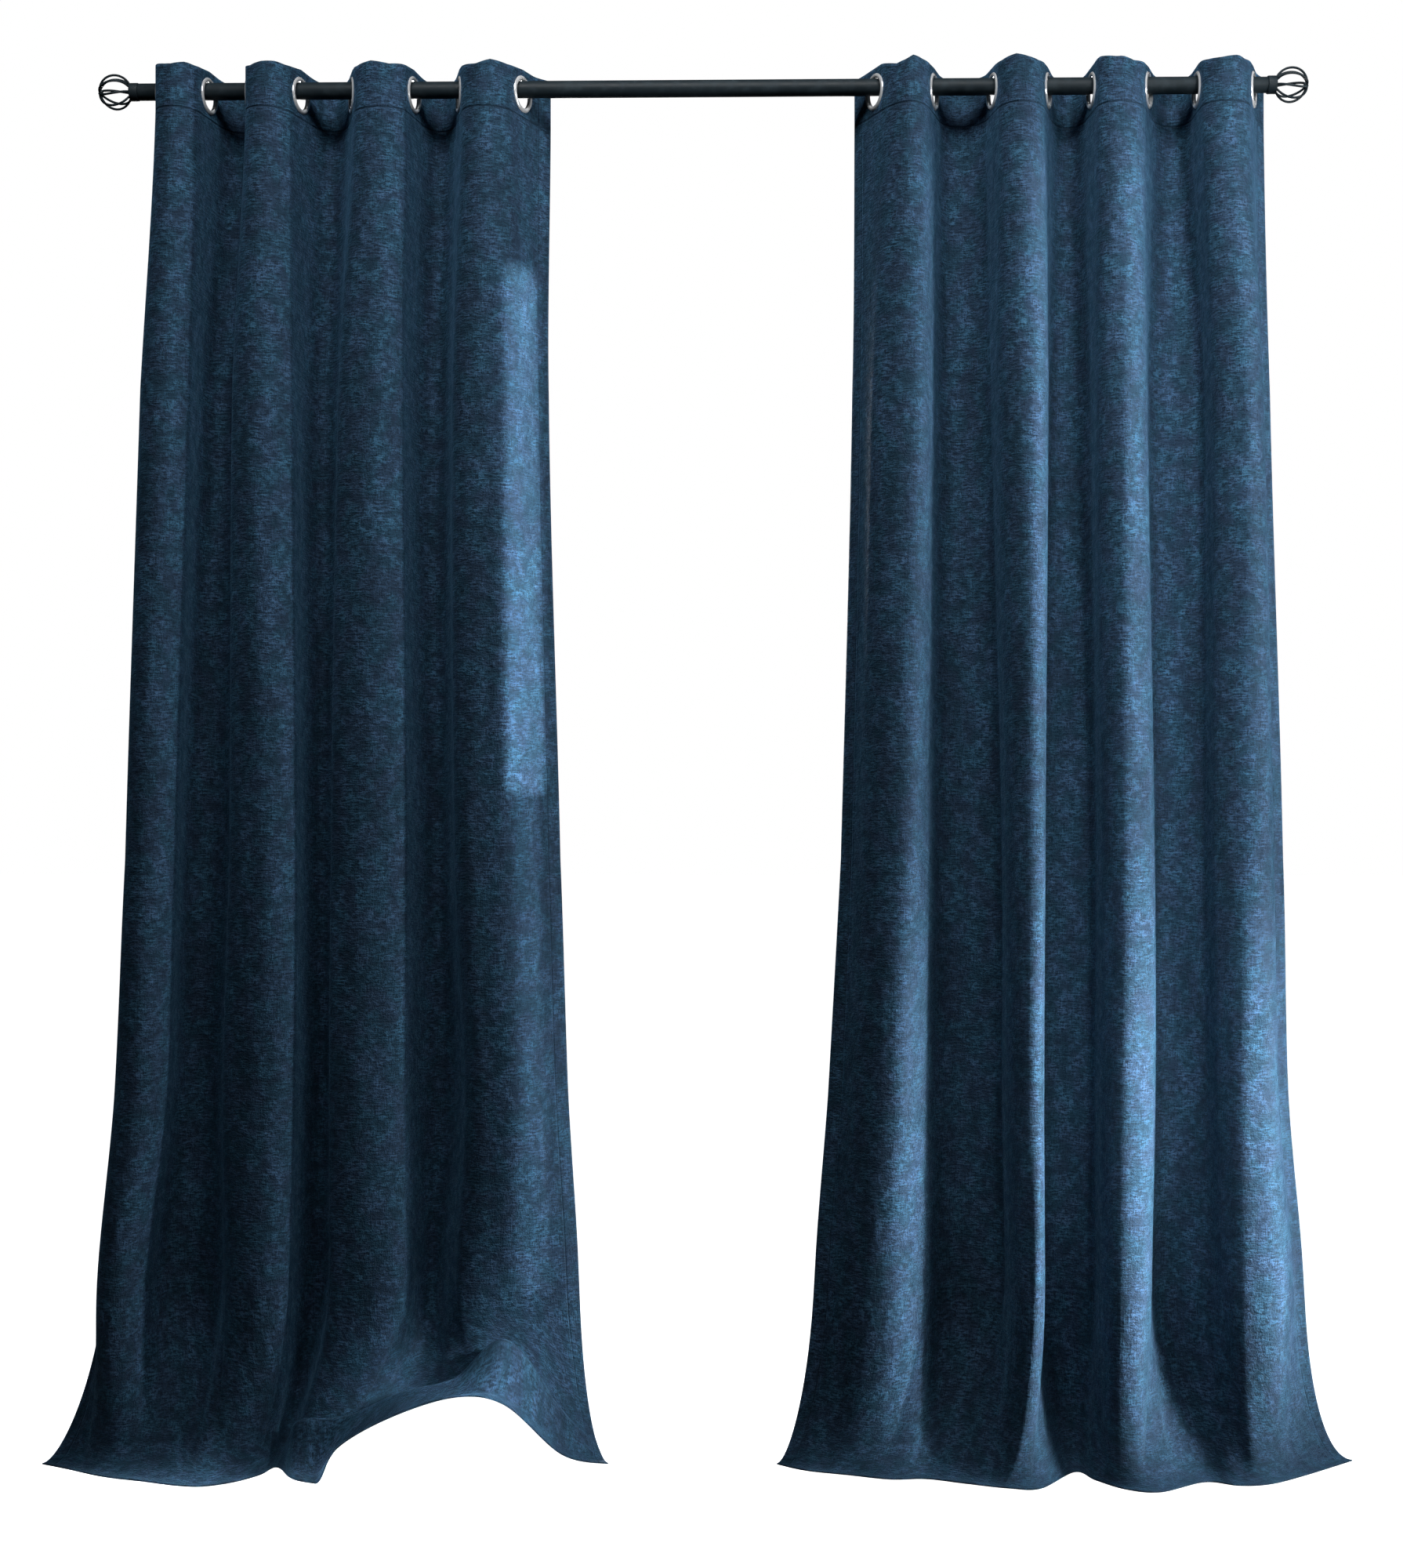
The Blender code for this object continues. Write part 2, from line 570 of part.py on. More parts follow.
def build():
    """Make the whole model."""
    clear_scene()
    black_metal = material("black_metal", BLACK_METAL, roughness=0.42, metallic=0.6)
    bright_metal = material("bright_metal", BRIGHT_METAL, roughness=0.22, metallic=1.0)
    left_cloth = material("left_cloth", LEFT_CLOTH, roughness=0.85)
    right_cloth = material("right_cloth", RIGHT_CLOTH, roughness=0.85)
    build_rod(black_metal)
    build_finial("finial_left", -1, black_metal)
    build_finial("finial_right", 1, black_metal)
    for side, folds, foot, heading, cloth in (
            ("left", LEFT_FOLDS, LEFT_FOOT, LEFT_HEADING, left_cloth),
            ("right", RIGHT_FOLDS, RIGHT_FOOT, RIGHT_HEADING, right_cloth)):
        build_panel(f"{side}_panel", folds, foot, heading, cloth)
        build_eyelets(side, folds, bright_metal)


build()
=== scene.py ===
"""Looks for a pair of navy velvet eyelet curtains on a thin dark rod.

Each panel is one sheet that weaves round the rod at eight eyelets, runs down
in deep folds and lies on the floor at its hem. The rod is two tubes, one in
the other, and ends in a ball of bowed wires at each side.
Metres, +Z up, +X along the rod and -Y towards the room.
"""

import math

import bpy
import numpy as np
from bpy.props import FloatProperty, FloatVectorProperty, IntProperty, PointerProperty
from bpy.types import Operator, Panel, PropertyGroup
from mathutils import Matrix, Vector


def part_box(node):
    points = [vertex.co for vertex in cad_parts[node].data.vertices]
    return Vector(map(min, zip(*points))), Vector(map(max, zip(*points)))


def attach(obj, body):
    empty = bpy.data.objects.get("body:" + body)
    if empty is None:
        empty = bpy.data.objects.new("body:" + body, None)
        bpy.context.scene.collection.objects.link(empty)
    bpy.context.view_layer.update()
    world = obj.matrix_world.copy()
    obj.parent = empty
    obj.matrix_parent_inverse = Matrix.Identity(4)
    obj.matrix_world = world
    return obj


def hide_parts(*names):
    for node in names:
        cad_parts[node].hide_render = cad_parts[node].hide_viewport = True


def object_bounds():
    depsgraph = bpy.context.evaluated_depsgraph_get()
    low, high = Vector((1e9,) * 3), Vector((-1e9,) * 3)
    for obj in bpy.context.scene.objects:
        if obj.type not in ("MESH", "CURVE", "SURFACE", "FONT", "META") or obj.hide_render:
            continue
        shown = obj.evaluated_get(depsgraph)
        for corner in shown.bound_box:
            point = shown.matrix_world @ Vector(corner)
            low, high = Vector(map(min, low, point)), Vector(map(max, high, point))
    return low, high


bl_info = {
    "name": "Velvet Eyelet Curtains",
    "version": (1, 0, 0),
    "blender": (4, 5, 0),
    "location": "3D View > Sidebar > Curtains",
    "description": "Builds a pair of velvet eyelet curtains on their rod",
    "category": "Add Mesh",
}

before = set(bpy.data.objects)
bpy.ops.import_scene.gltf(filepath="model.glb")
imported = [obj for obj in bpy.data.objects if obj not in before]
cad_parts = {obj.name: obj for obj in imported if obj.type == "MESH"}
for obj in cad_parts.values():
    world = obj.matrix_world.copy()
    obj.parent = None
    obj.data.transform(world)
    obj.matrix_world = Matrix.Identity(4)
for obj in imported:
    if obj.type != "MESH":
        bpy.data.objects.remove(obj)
CAD_BOX = [list(corner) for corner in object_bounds()]
FLOOR = CAD_BOX[0][2]
ROD_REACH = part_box("rod")[1].x

# Cloth, cut flat
PANEL_WIDTH = 1.27
PANEL_DROP = 2.13
EYELETS = 8
EYELET_SPACING = 0.160
EDGE_ALLOWANCE = (PANEL_WIDTH - (EYELETS - 1) * EYELET_SPACING) / 2
FLAT_AT_EYELET = 0.028
HEADING_ABOVE_ROD = 0.028
HEADING_DEPTH = 0.070
RING_SAG = 0.007
HOLE_MARGIN = 0.002
FOOT_START = 1.824

# How the folds change below the heading: sections down to where they hang
# freely, the share of the flat cloth at an eyelet that is gone there, how much
# less each section's side edges stand back, and how mesh columns crowd at the
# ends of a fold.
FREE_AFTER = 1.5
FLAT_LOST = 0.55
SIDE_EASE = 0.15
LOOP_CROWD = 0.3

# Shape of the foot: how far its fall leans towards the bend, and how far each
# handle of its curve reaches.
BEND_SHARE = 0.45
UPPER_REACH = 0.62
LOWER_REACH = 0.80

# Height of each section, and how far the sheet stands ahead of the rod there
SECTIONS = (
    ("heading", -0.041, 0.000),
    ("chest", -0.450, 0.002),
    ("middle", -1.152, 0.008),
    ("knee", -1.503, 0.012),
    ("shin", HEADING_ABOVE_ROD - FOOT_START, 0.018),
)

# Where each fold's flank crosses the middle of the sheet, section by section.
# The outer rows are the side edges, with "lean" as their distance behind it.
# For an eyelet "lean" is the flank's turn away from square to the rod, and
# "swing" how far the fold after it leans over to its right, or to its left where
# it is below zero.
FOLD_COLUMNS = ("flank", "lean", "swing", "heading", "chest", "middle", "knee", "shin")
LEFT_FOLDS = (
    ("side", 0.060, 0.00, -0.800, -0.815, -0.837, -0.860, -0.894),
    ("eyelet 1", 5.0, 0.10, -0.810, -0.832, -0.852, -0.869, -0.890),
    ("eyelet 2", 11.4, 0.00, -0.737, -0.757, -0.780, -0.792, -0.821),
    ("eyelet 3", 5.0, 0.15, -0.676, -0.696, -0.702, -0.712, -0.708),
    ("eyelet 4", 16.3, 0.00, -0.599, -0.603, -0.600, -0.601, -0.608),
    ("eyelet 5", 17.6, 0.10, -0.521, -0.540, -0.549, -0.551, -0.550),
    ("eyelet 6", 11.9, 0.00, -0.429, -0.439, -0.433, -0.433, -0.433),
    ("eyelet 7", 14.7, 0.10, -0.360, -0.370, -0.366, -0.351, -0.366),
    ("eyelet 8", 23.3, 0.00, -0.266, -0.258, -0.244, -0.228, -0.214),
    ("side", 0.055, 0.00, -0.229, -0.231, -0.212, -0.199, -0.181),
)
RIGHT_FOLDS = (
    ("side", 0.055, 0.00, 0.234, 0.230, 0.212, 0.192, 0.170),
    ("eyelet 1", 24.6, 0.45, 0.261, 0.250, 0.236, 0.222, 0.204),
    ("eyelet 2", 18.4, -0.75, 0.348, 0.346, 0.340, 0.336, 0.334),
    ("eyelet 3", 10.5, 0.12, 0.436, 0.439, 0.452, 0.452, 0.456),
    ("eyelet 4", 17.6, -0.30, 0.517, 0.516, 0.506, 0.503, 0.502),
    ("eyelet 5", 5.0, 0.05, 0.583, 0.586, 0.593, 0.591, 0.591),
    ("eyelet 6", 21.7, -0.45, 0.666, 0.664, 0.671, 0.672, 0.666),
    ("eyelet 7", 1.0, 0.36, 0.739, 0.756, 0.757, 0.761, 0.766),
    ("eyelet 8", 20.5, 0.00, 0.821, 0.832, 0.848, 0.855, 0.876),
    ("side", 0.055, 0.00, 0.850, 0.857, 0.873, 0.878, 0.898),
)

# The hem and the bend above it, at half eyelet spacings across the cloth.
# "out" is ahead of the rod, "up" above the floor, and "lip" the height of the
# ridge between the bend and a lifted hem.
FOOT_COLUMNS = ("across", "hem_x", "hem_out", "hem_up", "bend_x", "bend_out", "bend_up", "lip")
LEFT_FOOT = (
    (-0.5, -0.980, 0.029, 0.000, -0.953, 0.019, 0.000, 0.000),
    (0.0, -0.937, 0.050, 0.000, -0.924, 0.018, 0.002, 0.000),
    (0.5, -0.872, 0.084, 0.000, -0.868, 0.036, 0.004, 0.000),
    (1.0, -0.806, 0.104, 0.000, -0.808, 0.042, 0.006, 0.000),
    (1.5, -0.757, 0.120, 0.000, -0.765, 0.064, 0.006, 0.000),
    (2.0, -0.716, 0.124, 0.000, -0.724, 0.092, 0.006, 0.000),
    (2.5, -0.675, 0.105, 0.000, -0.682, 0.050, 0.005, 0.000),
    (3.0, -0.643, 0.072, 0.000, -0.648, 0.022, 0.004, 0.000),
    (3.5, -0.626, 0.038, 0.000, -0.628, -0.020, 0.004, 0.000),
    (4.0, -0.592, 0.090, 0.000, -0.608, 0.040, 0.034, 0.046),
    (4.5, -0.552, 0.111, 0.001, -0.568, 0.030, 0.044, 0.052),
    (5.0, -0.519, 0.132, 0.058, -0.508, 0.030, 0.052, 0.026),
    (5.5, -0.440, 0.158, 0.111, -0.430, 0.020, 0.070, 0.024),
    (6.0, -0.350, 0.165, 0.142, -0.350, 0.030, 0.098, 0.022),
    (6.5, -0.276, 0.153, 0.129, -0.276, 0.046, 0.136, 0.072),
    (7.0, -0.199, 0.084, 0.036, -0.222, 0.030, 0.066, 0.042),
    (7.5, -0.134, 0.014, 0.000, -0.160, 0.004, 0.004, 0.000),
)
RIGHT_FOOT = (
    (-0.5, 0.113, 0.008, 0.000, 0.134, 0.000, 0.002, 0.000),
    (0.0, 0.156, 0.037, 0.000, 0.174, 0.002, 0.003, 0.000),
    (0.5, 0.218, 0.056, 0.000, 0.238, 0.018, 0.004, 0.000),
    (1.0, 0.279, 0.074, 0.000, 0.296, 0.028, 0.005, 0.000),
    (1.5, 0.331, 0.071, 0.000, 0.347, 0.016, 0.004, 0.000),
    (2.0, 0.386, 0.090, 0.000, 0.404, 0.030, 0.005, 0.000),
    (2.5, 0.446, 0.109, 0.000, 0.472, 0.066, 0.006, 0.000),
    (3.0, 0.492, 0.109, 0.000, 0.496, 0.046, 0.005, 0.000),
    (3.5, 0.552, 0.036, 0.000, 0.554, -0.020, 0.004, 0.000),
    (4.0, 0.576, 0.071, 0.000, 0.580, 0.018, 0.004, 0.000),
    (4.5, 0.613, 0.110, 0.000, 0.616, 0.060, 0.006, 0.000),
    (5.0, 0.661, 0.121, 0.000, 0.660, 0.050, 0.006, 0.000),
    (5.5, 0.733, 0.077, 0.000, 0.736, 0.014, 0.004, 0.000),
    (6.0, 0.779, 0.091, 0.000, 0.782, 0.030, 0.005, 0.000),
    (6.5, 0.826, 0.084, 0.000, 0.822, 0.040, 0.006, 0.000),
    (7.0, 0.889, 0.043, 0.000, 0.884, 0.000, 0.004, 0.000),
    (7.5, 0.978, -0.026, 0.000, 0.930, -0.030, 0.002, 0.000),
)
LIP_AT = 0.771
LIP_REACH = 0.13

# How far the top edge stands above or below its level, at places across the
# cloth in eyelet spacings.
LEFT_HEADING = {
    "across": (0.10, 0.30, 0.43, 0.50, 0.64, 0.74, 1.00, 1.50, 2.10, 2.36, 2.50, 2.64, 2.74, 3.00,
        3.50, 4.05, 4.26, 4.43, 4.60, 4.74, 5.00, 5.50, 6.05, 6.26, 6.42, 6.57, 6.74, 7.00, 7.50),
    "rise": (0.0, -0.0030, -0.0065, -0.0070, -0.0025, -0.0035, 0.0020, 0.0, 0.0, -0.0080, -0.0040,
        -0.0020, -0.0032, 0.0040, 0.0, 0.0, -0.0045, -0.0015, -0.0063, -0.0026, 0.0025, 0.0,
        0.0010, -0.0045, -0.0077, -0.0010, -0.0033, 0.0018, 0.0020),
}
RIGHT_HEADING = {
    "across": (0.15, 0.26, 0.36, 0.48, 0.57, 0.70, 1.00, 2.10, 2.25, 2.43, 2.57, 2.69, 3.00, 4.10,
        4.26, 4.45, 4.52, 4.64, 4.80, 5.00, 6.10, 6.31, 6.45, 6.62, 6.70, 7.00),
    "rise": (0.0, -0.0055, -0.0106, -0.0075, -0.0013, -0.0045, 0.0, 0.0, -0.0030, 0.0003, -0.0042,
        -0.0063, 0.0, 0.0, 0.0010, -0.0046, -0.0040, -0.0086, -0.0040, 0.0, 0.0, -0.0055, -0.0064,
        -0.0025, -0.0062, 0.0),
}
HEADING_FADES_BY = 0.060

# Hardware: sides of round pieces, the rod's two tubes and the wires of a ball
RING_SIDES = 56
ROD_SIDES = 64
OUTER_TUBE_ENDS = 0.780
TUBE_OVERLAP = 0.020
COLLAR_GAP = 0.0003
BALL_WIRES = 8
WIRE_STEPS = 16
WIRE_TWIST = 24
WIRE_ROOT = 0.0095
WIRE_TAIL = 0.003

# Soft creases. Each runs from one place on the cloth to another, given as
# eyelet spacings across and metres down. "rise" is towards the room.
CREASE_COLUMNS = ("from_across", "from_down", "to_across", "to_down", "width", "rise")
LEFT_CREASES = (
    (0.42, 0.25, 0.50, 1.70, 0.020, 0.0030),
    (2.45, 0.20, 2.60, 1.60, 0.016, 0.0030),
    (4.60, 0.30, 4.45, 1.75, 0.018, 0.0028),
    (6.38, 0.95, 6.34, 1.70, 0.010, 0.0030),
    (6.64, 0.25, 6.56, 1.85, 0.012, 0.0036),
)
RIGHT_CREASES = (
    (0.66, 0.12, 0.60, 1.95, 0.011, 0.0035),
    (2.60, 0.12, 2.52, 1.10, 0.010, 0.0025),
    (2.56, 1.60, 2.44, 2.11, 0.007, 0.0055),
    (4.58, 0.12, 4.46, 0.95, 0.010, 0.0030),
    (4.46, 0.80, 4.36, 2.07, 0.014, 0.0060),
    (6.58, 0.12, 6.50, 1.10, 0.011, 0.0025),
    (6.46, 1.20, 6.34, 2.07, 0.014, 0.0065),
)


def deselect_all():
    """Leave object mode with nothing selected."""
    if bpy.context.object and bpy.context.object.mode != "OBJECT":
        bpy.ops.object.mode_set(mode="OBJECT")
    bpy.ops.object.select_all(action="DESELECT")


def pick(piece):
    """Select one piece alone and make it active."""
    deselect_all()
    piece.select_set(True)
    bpy.context.view_layer.objects.active = piece


def settle(piece, surface, angle=35):
    """Give a hard piece its finish, its smooth shading and its place in its mesh."""
    pick(piece)
    bpy.ops.object.transform_apply(location=True, rotation=True, scale=True)
    piece.data.materials.clear()
    piece.data.materials.append(surface)
    bpy.ops.object.shade_smooth_by_angle(angle=math.radians(angle))


def hermite(before, start, end, after, t):
    """Catmull-Rom value between start and end for evenly spaced neighbours."""
    pull_start = (end - before) / 2
    pull_end = (after - start) / 2
    return (start * (2 * t ** 3 - 3 * t ** 2 + 1) + pull_start * (t ** 3 - 2 * t ** 2 + t)
            + end * (3 * t ** 2 - 2 * t ** 3) + pull_end * (t ** 3 - t ** 2))


def cubic(a, b, c, d, t):
    """Points on a cubic curve, one for each value of t."""
    t = np.asarray(t)[:, None]
    s = 1 - t
    return a * s ** 3 + b * (3 * s * s * t) + c * (3 * s * t * t) + d * t ** 3


def loop_handle(start, start_way, end, end_way, length, swing):
    """Handle length that gives a fold between two flanks its length of cloth."""
    shortest_share, samples, passes = 0.30, 25, 30
    low, high = np.linalg.norm(end - start) * shortest_share, length
    steps = np.linspace(0, 1, samples)
    for _ in range(passes):
        handle = (low + high) / 2
        line = cubic(start, start + start_way * handle * (1 - swing),
                     end - end_way * handle * (1 + swing), end, steps)
        if np.linalg.norm(np.diff(line, axis=0), axis=1).sum() > length:
            high = handle
        else:
            low = handle
    return (low + high) / 2


def natural_lean(chord):
    """Turn of a hanging fold's flank from square to the rod."""
    nearly_flat = 0.98
    share = min(chord / EYELET_SPACING, nearly_flat)
    return math.pi / 2 - math.sqrt(8 * (1 - math.sqrt(share)))


def flank_way(number, lean):
    """Direction of the cloth at an eyelet line, followed from side to side."""
    towards_room = -1 if number % 2 == 0 else 1
    return np.array((math.sin(lean), towards_room * math.cos(lean)))


def stops(steps, crowd=0.0):
    """Shares from 0 to 1, spread out from the ends where crowd is above 0."""
    t = np.linspace(0, 1, steps + 1)
    return t - crowd * np.sin(2 * math.pi * t) / (2 * math.pi)


def section_plan(folds, section, loop_steps, flat_steps, flap_steps):
    """Plan of the sheet at one section, and each point's place across the cloth."""
    name, _, ahead = SECTIONS[section]
    column = FOLD_COLUMNS.index(name)
    spots = [np.array((row[column], -ahead)) for row in folds]
    crossings = spots[1:-1]
    chords = [np.linalg.norm(q - p) for p, q in zip(crossings, crossings[1:])]
    chords = [chords[0]] + chords + [chords[-1]]
    hung = min(section / FREE_AFTER, 1.0)
    ways = []
    for number, row in enumerate(folds[1:-1]):
        free = natural_lean((chords[number] + chords[number + 1]) / 2)
        ways.append(flank_way(number, (1 - hung) * math.radians(row[1]) + hung * free))
    flat = FLAT_AT_EYELET * (1 - FLAT_LOST * hung)
    fall = 1 - SIDE_EASE * section
    left_edge = spots[0] + np.array((0, folds[0][1] * fall))
    right_edge = spots[-1] + np.array((0, folds[-1][1] * fall))

    edge_share = EDGE_ALLOWANCE / EYELET_SPACING
    flat_share = FLAT_AT_EYELET / EYELET_SPACING
    across = stops(flat_steps)[:-1]
    loop = stops(loop_steps, LOOP_CROWD)[:-1]
    side = stops(flap_steps)
    points = [flap(left_edge, crossings[0] - ways[0] * flat, -ways[0], side)[:-1]]
    places = [-edge_share + (edge_share - flat_share) * side[:-1]]
    for number, crossing in enumerate(crossings):
        way = ways[number]
        points.append(crossing + np.outer(2 * across - 1, way * flat))
        places.append(number + flat_share * (2 * across - 1))
        start = crossing + way * flat
        if number == EYELETS - 1:
            points.append(flap(right_edge, start, way, side)[::-1])
            places.append(number + flat_share + (edge_share - flat_share) * (1 - side[::-1]))
            break
        end = crossings[number + 1] - ways[number + 1] * flat
        swing = folds[number + 1][FOLD_COLUMNS.index("swing")] * (1 + hung) / 2
        handle = loop_handle(start, way, end, ways[number + 1], EYELET_SPACING - 2 * flat,
                             swing)
        points.append(cubic(start, start + way * handle * (1 - swing),
                            end - ways[number + 1] * handle * (1 + swing), end, loop))
        places.append(number + flat_share + (1 - 2 * flat_share) * loop)
    return np.concatenate(points), np.concatenate(places)


def flap(edge, root, way, side):
    """The cloth outside the last eyelet, from its side edge to the flank."""
    edge_pull, root_pull = 0.35, 0.40
    reach = np.linalg.norm(edge - root) * root_pull
    return cubic(edge, edge + (root - edge) * edge_pull, root + way * reach, root, side)


def foot_values(foot, places, name):
    """One value of the foot table at each place across the cloth."""
    values = np.array([row[FOOT_COLUMNS.index(name)] for row in foot])
    last = len(foot) - 1
    where = np.clip((places - foot[0][0]) * 2, 0, last)
    row = np.minimum(where.astype(int), last - 1)
    near = [values[np.clip(row + shift, 0, last)] for shift in (-1, 0, 1, 2)]
    return hermite(*near, where - row)


def foot_line(foot, places, kind, half_thickness):
    """The hem, or the bend above it, from side to side."""
    up = np.maximum(foot_values(foot, places, kind + "_up"), 0)
    return np.stack((foot_values(foot, places, kind + "_x"),
                     -foot_values(foot, places, kind + "_out"),
                     FLOOR + half_thickness + up), axis=1)


def hang(plans, height):
    """The sheet's line at a height, between the sections above and below it."""
    heights = [section[1] for section in SECTIONS]
    if height >= heights[0]:
        line = plans[0]
    else:
        below = next(i for i, z in enumerate(heights) if z <= height + 1e-9)
        last = len(plans) - 1
        t = (heights[below - 1] - height) / (heights[below - 1] - heights[below])
        line = hermite(plans[max(below - 2, 0)], plans[below - 1], plans[below],
                       plans[min(below + 1, last)], t)
    return np.column_stack((line, np.full(len(line), height)))


def foot_row(start, foot, places, half_thickness, t):
    """One line of the sheet between the last section and the hem."""
    hem = foot_line(foot, places, "hem", half_thickness)
    bend = foot_line(foot, places, "bend", half_thickness)
    fall = np.column_stack((start[:, :2], bend[:, 2]))
    fall += (bend - fall) * BEND_SHARE
    upper = start + (fall - start) * UPPER_REACH
    lower = hem + (bend - hem) * LOWER_REACH
    s = 1 - t
    line = start * s ** 3 + upper * (3 * s * s * t) + lower * (3 * s * t * t) + hem * t ** 3
    lip = np.maximum(foot_values(foot, places, "lip"), 0)
    line[:, 2] += lip * max(0, 1 - abs(t - LIP_AT) / LIP_REACH)
    return line


def row_drops(fine, coarse):
    """Distance down the cloth of each row: close at the heading and the foot."""
    above, below = HEADING_DEPTH - 0.004, HEADING_DEPTH + 0.004
    chest, shin = 0.20, 1.66
    bands = ((0.0, above, 0.0052), (above, below, 0.002), (below, chest, 0.0095),
             (chest, shin, coarse), (shin, FOOT_START, 0.010),
             (FOOT_START, PANEL_DROP, fine))
    drops = [0.0]
    for start, end, pitch in bands:
        count = max(1, round((end - start) / pitch))
        drops.extend(start + (end - start) * (k + 1) / count for k in range(count))
    return np.array(drops)


def sheet_grid(folds, foot, heading, creases, sizes):
    """Points of the sheet's middle, with each one's place on the flat cloth."""
    half = sizes.cloth_thickness / 2
    plans = []
    for section in range(len(SECTIONS)):
        plan, places = section_plan(folds, section, sizes.fold_steps, sizes.flat_steps,
                                    sizes.side_steps)
        plans.append(plan)
    drops = row_drops(sizes.foot_pitch, sizes.body_pitch)
    last = hang(plans, HEADING_ABOVE_ROD - FOOT_START)
    rows = []
    for drop in drops:
        if drop <= FOOT_START:
            rows.append(hang(plans, HEADING_ABOVE_ROD - drop))
        else:
            t = (drop - FOOT_START) / (PANEL_DROP - FOOT_START)
            rows.append(foot_row(last, foot, places, half, t))
    grid = np.array(rows)
    fade = np.clip(1 - drops / HEADING_FADES_BY, 0, 1)
    grid[:, :, 2] += fade[:, None] * np.interp(places, heading["across"], heading["rise"])
    ease_joint(grid, drops)
    press_creases(grid, drops, places, creases)
    grid[:, :, 2] = np.maximum(grid[:, :, 2], FLOOR + half)
    run = np.linalg.norm(np.diff(grid, axis=1), axis=2)
    run = np.concatenate((np.zeros((len(drops), 1)), np.cumsum(run, axis=1)), axis=1)
    cloth = np.empty(grid.shape[:2] + (2,))
    cloth[:, :, 0] = run / run[:, -1:] * PANEL_WIDTH
    cloth[:, :, 1] = drops[:, None]
    return grid, cloth, places


def ease_joint(grid, drops):
    """Smooth the change from the hanging part to the foot."""
    passes, reach = 24, 0.045
    near = np.exp(-((drops - FOOT_START) / reach) ** 2)[1:-1, None, None]
    for _ in range(passes):
        grid[1:-1] += near * 0.5 * ((grid[:-2] + grid[2:]) / 2 - grid[1:-1])


def press_creases(grid, drops, places, creases):
    """Raise or sink the sheet along its creases."""
    along = np.gradient(grid, axis=1)
    down = np.gradient(grid, axis=0)
    normal = np.cross(along, down)
    normal /= np.maximum(np.linalg.norm(normal, axis=2, keepdims=True), 1e-9)
    if normal[:, :, 1].mean() > 0:
        normal = -normal
    spot = np.stack(np.meshgrid(places * EYELET_SPACING, drops), axis=2)
    lift = np.zeros(grid.shape[:2])
    for row in creases:
        value = dict(zip(CREASE_COLUMNS, row))
        start = np.array((value["from_across"] * EYELET_SPACING, value["from_down"]))
        end = np.array((value["to_across"] * EYELET_SPACING, value["to_down"]))
        share = np.clip(((spot - start) @ (end - start)) / ((end - start) @ (end - start)), 0, 1)
        away = np.linalg.norm(spot - (start + share[:, :, None] * (end - start)), axis=2)
        taper = np.sin(math.pi * np.clip(share, 0.02, 0.98)) ** 0.5
        lift += value["rise"] * taper * np.exp(-(away / value["width"]) ** 2)
    grid += normal * lift[:, :, None]


def eyelet_places(folds):
    """Place and turn of each eyelet: its axis is square to the cloth."""
    for number, row in enumerate(folds[1:-1]):
        way = flank_way(number, math.radians(row[1]))
        spot = np.array((row[FOLD_COLUMNS.index("heading")], 0, -RING_SAG))
        yield number, spot, way


def cut_holes(grid, cloth, places, folds, radius):
    """Open the cloth at each eyelet: which faces go, with the edges set round."""
    gone = np.zeros((grid.shape[0] - 1, grid.shape[1] - 1), dtype=bool)
    near_share = 1.08 * FLAT_AT_EYELET / EYELET_SPACING
    for number, spot, way in eyelet_places(folds):
        near = np.abs(places - number) < near_share
        apart = grid - spot
        across = apart[:, :, 0] * way[0] + apart[:, :, 1] * way[1]
        reach = np.hypot(across, apart[:, :, 2])
        reach[:, ~near] = 1
        centre = (reach[:-1, :-1] + reach[1:, :-1] + reach[:-1, 1:] + reach[1:, 1:]) / 4
        hole = centre < radius
        gone |= hole
        touched = np.zeros(reach.shape, dtype=bool)
        kept = np.zeros(reach.shape, dtype=bool)
        for r, c in ((0, 0), (0, 1), (1, 0), (1, 1)):
            rows = slice(r, r + hole.shape[0])
            columns = slice(c, c + hole.shape[1])
            touched[rows, columns] |= hole
            kept[rows, columns] |= ~hole
        for r, c in np.argwhere(touched & kept):
            scale = radius / reach[r, c] - 1
            shift = np.array((way[0] * across[r, c], way[1] * across[r, c], apart[r, c, 2]))
            grid[r, c] += shift * scale
            cloth[r, c] += (across[r, c] * scale, -apart[r, c, 2] * scale)
    return gone


def sheet_object(name, grid, cloth, gone, thickness, surface):
    """A thin sheet with both faces, mapped in metres of flat cloth."""
    rows, columns = grid.shape[:2]
    index = np.arange(rows * columns).reshape(rows, columns)
    quads = np.stack((index[:-1, :-1], index[1:, :-1], index[1:, 1:], index[:-1, 1:]), axis=2)
    quads = quads[~gone]
    used = np.unique(quads)
    new = np.full(rows * columns, -1)
    new[used] = np.arange(len(used))
    mesh = bpy.data.meshes.new(name)
    mesh.from_pydata(grid.reshape(-1, 3)[used].tolist(), [], new[quads].tolist())
    flat = cloth.reshape(-1, 2)[used]
    corners = np.empty(len(mesh.loops), dtype=int)
    mesh.loops.foreach_get("vertex_index", corners)
    mesh.uv_layers.new(name="Cloth").data.foreach_set("uv", flat[corners].ravel())
    mesh.materials.append(surface)
    mesh.shade_smooth()
    piece = bpy.data.objects.new(name, mesh)
    bpy.context.collection.objects.link(piece)
    pick(piece)
    sheet = piece.modifiers.new("Thickness", "SOLIDIFY")
    sheet.thickness = thickness
    sheet.offset = 0
    bpy.ops.object.modifier_apply(modifier=sheet.name)
    return piece


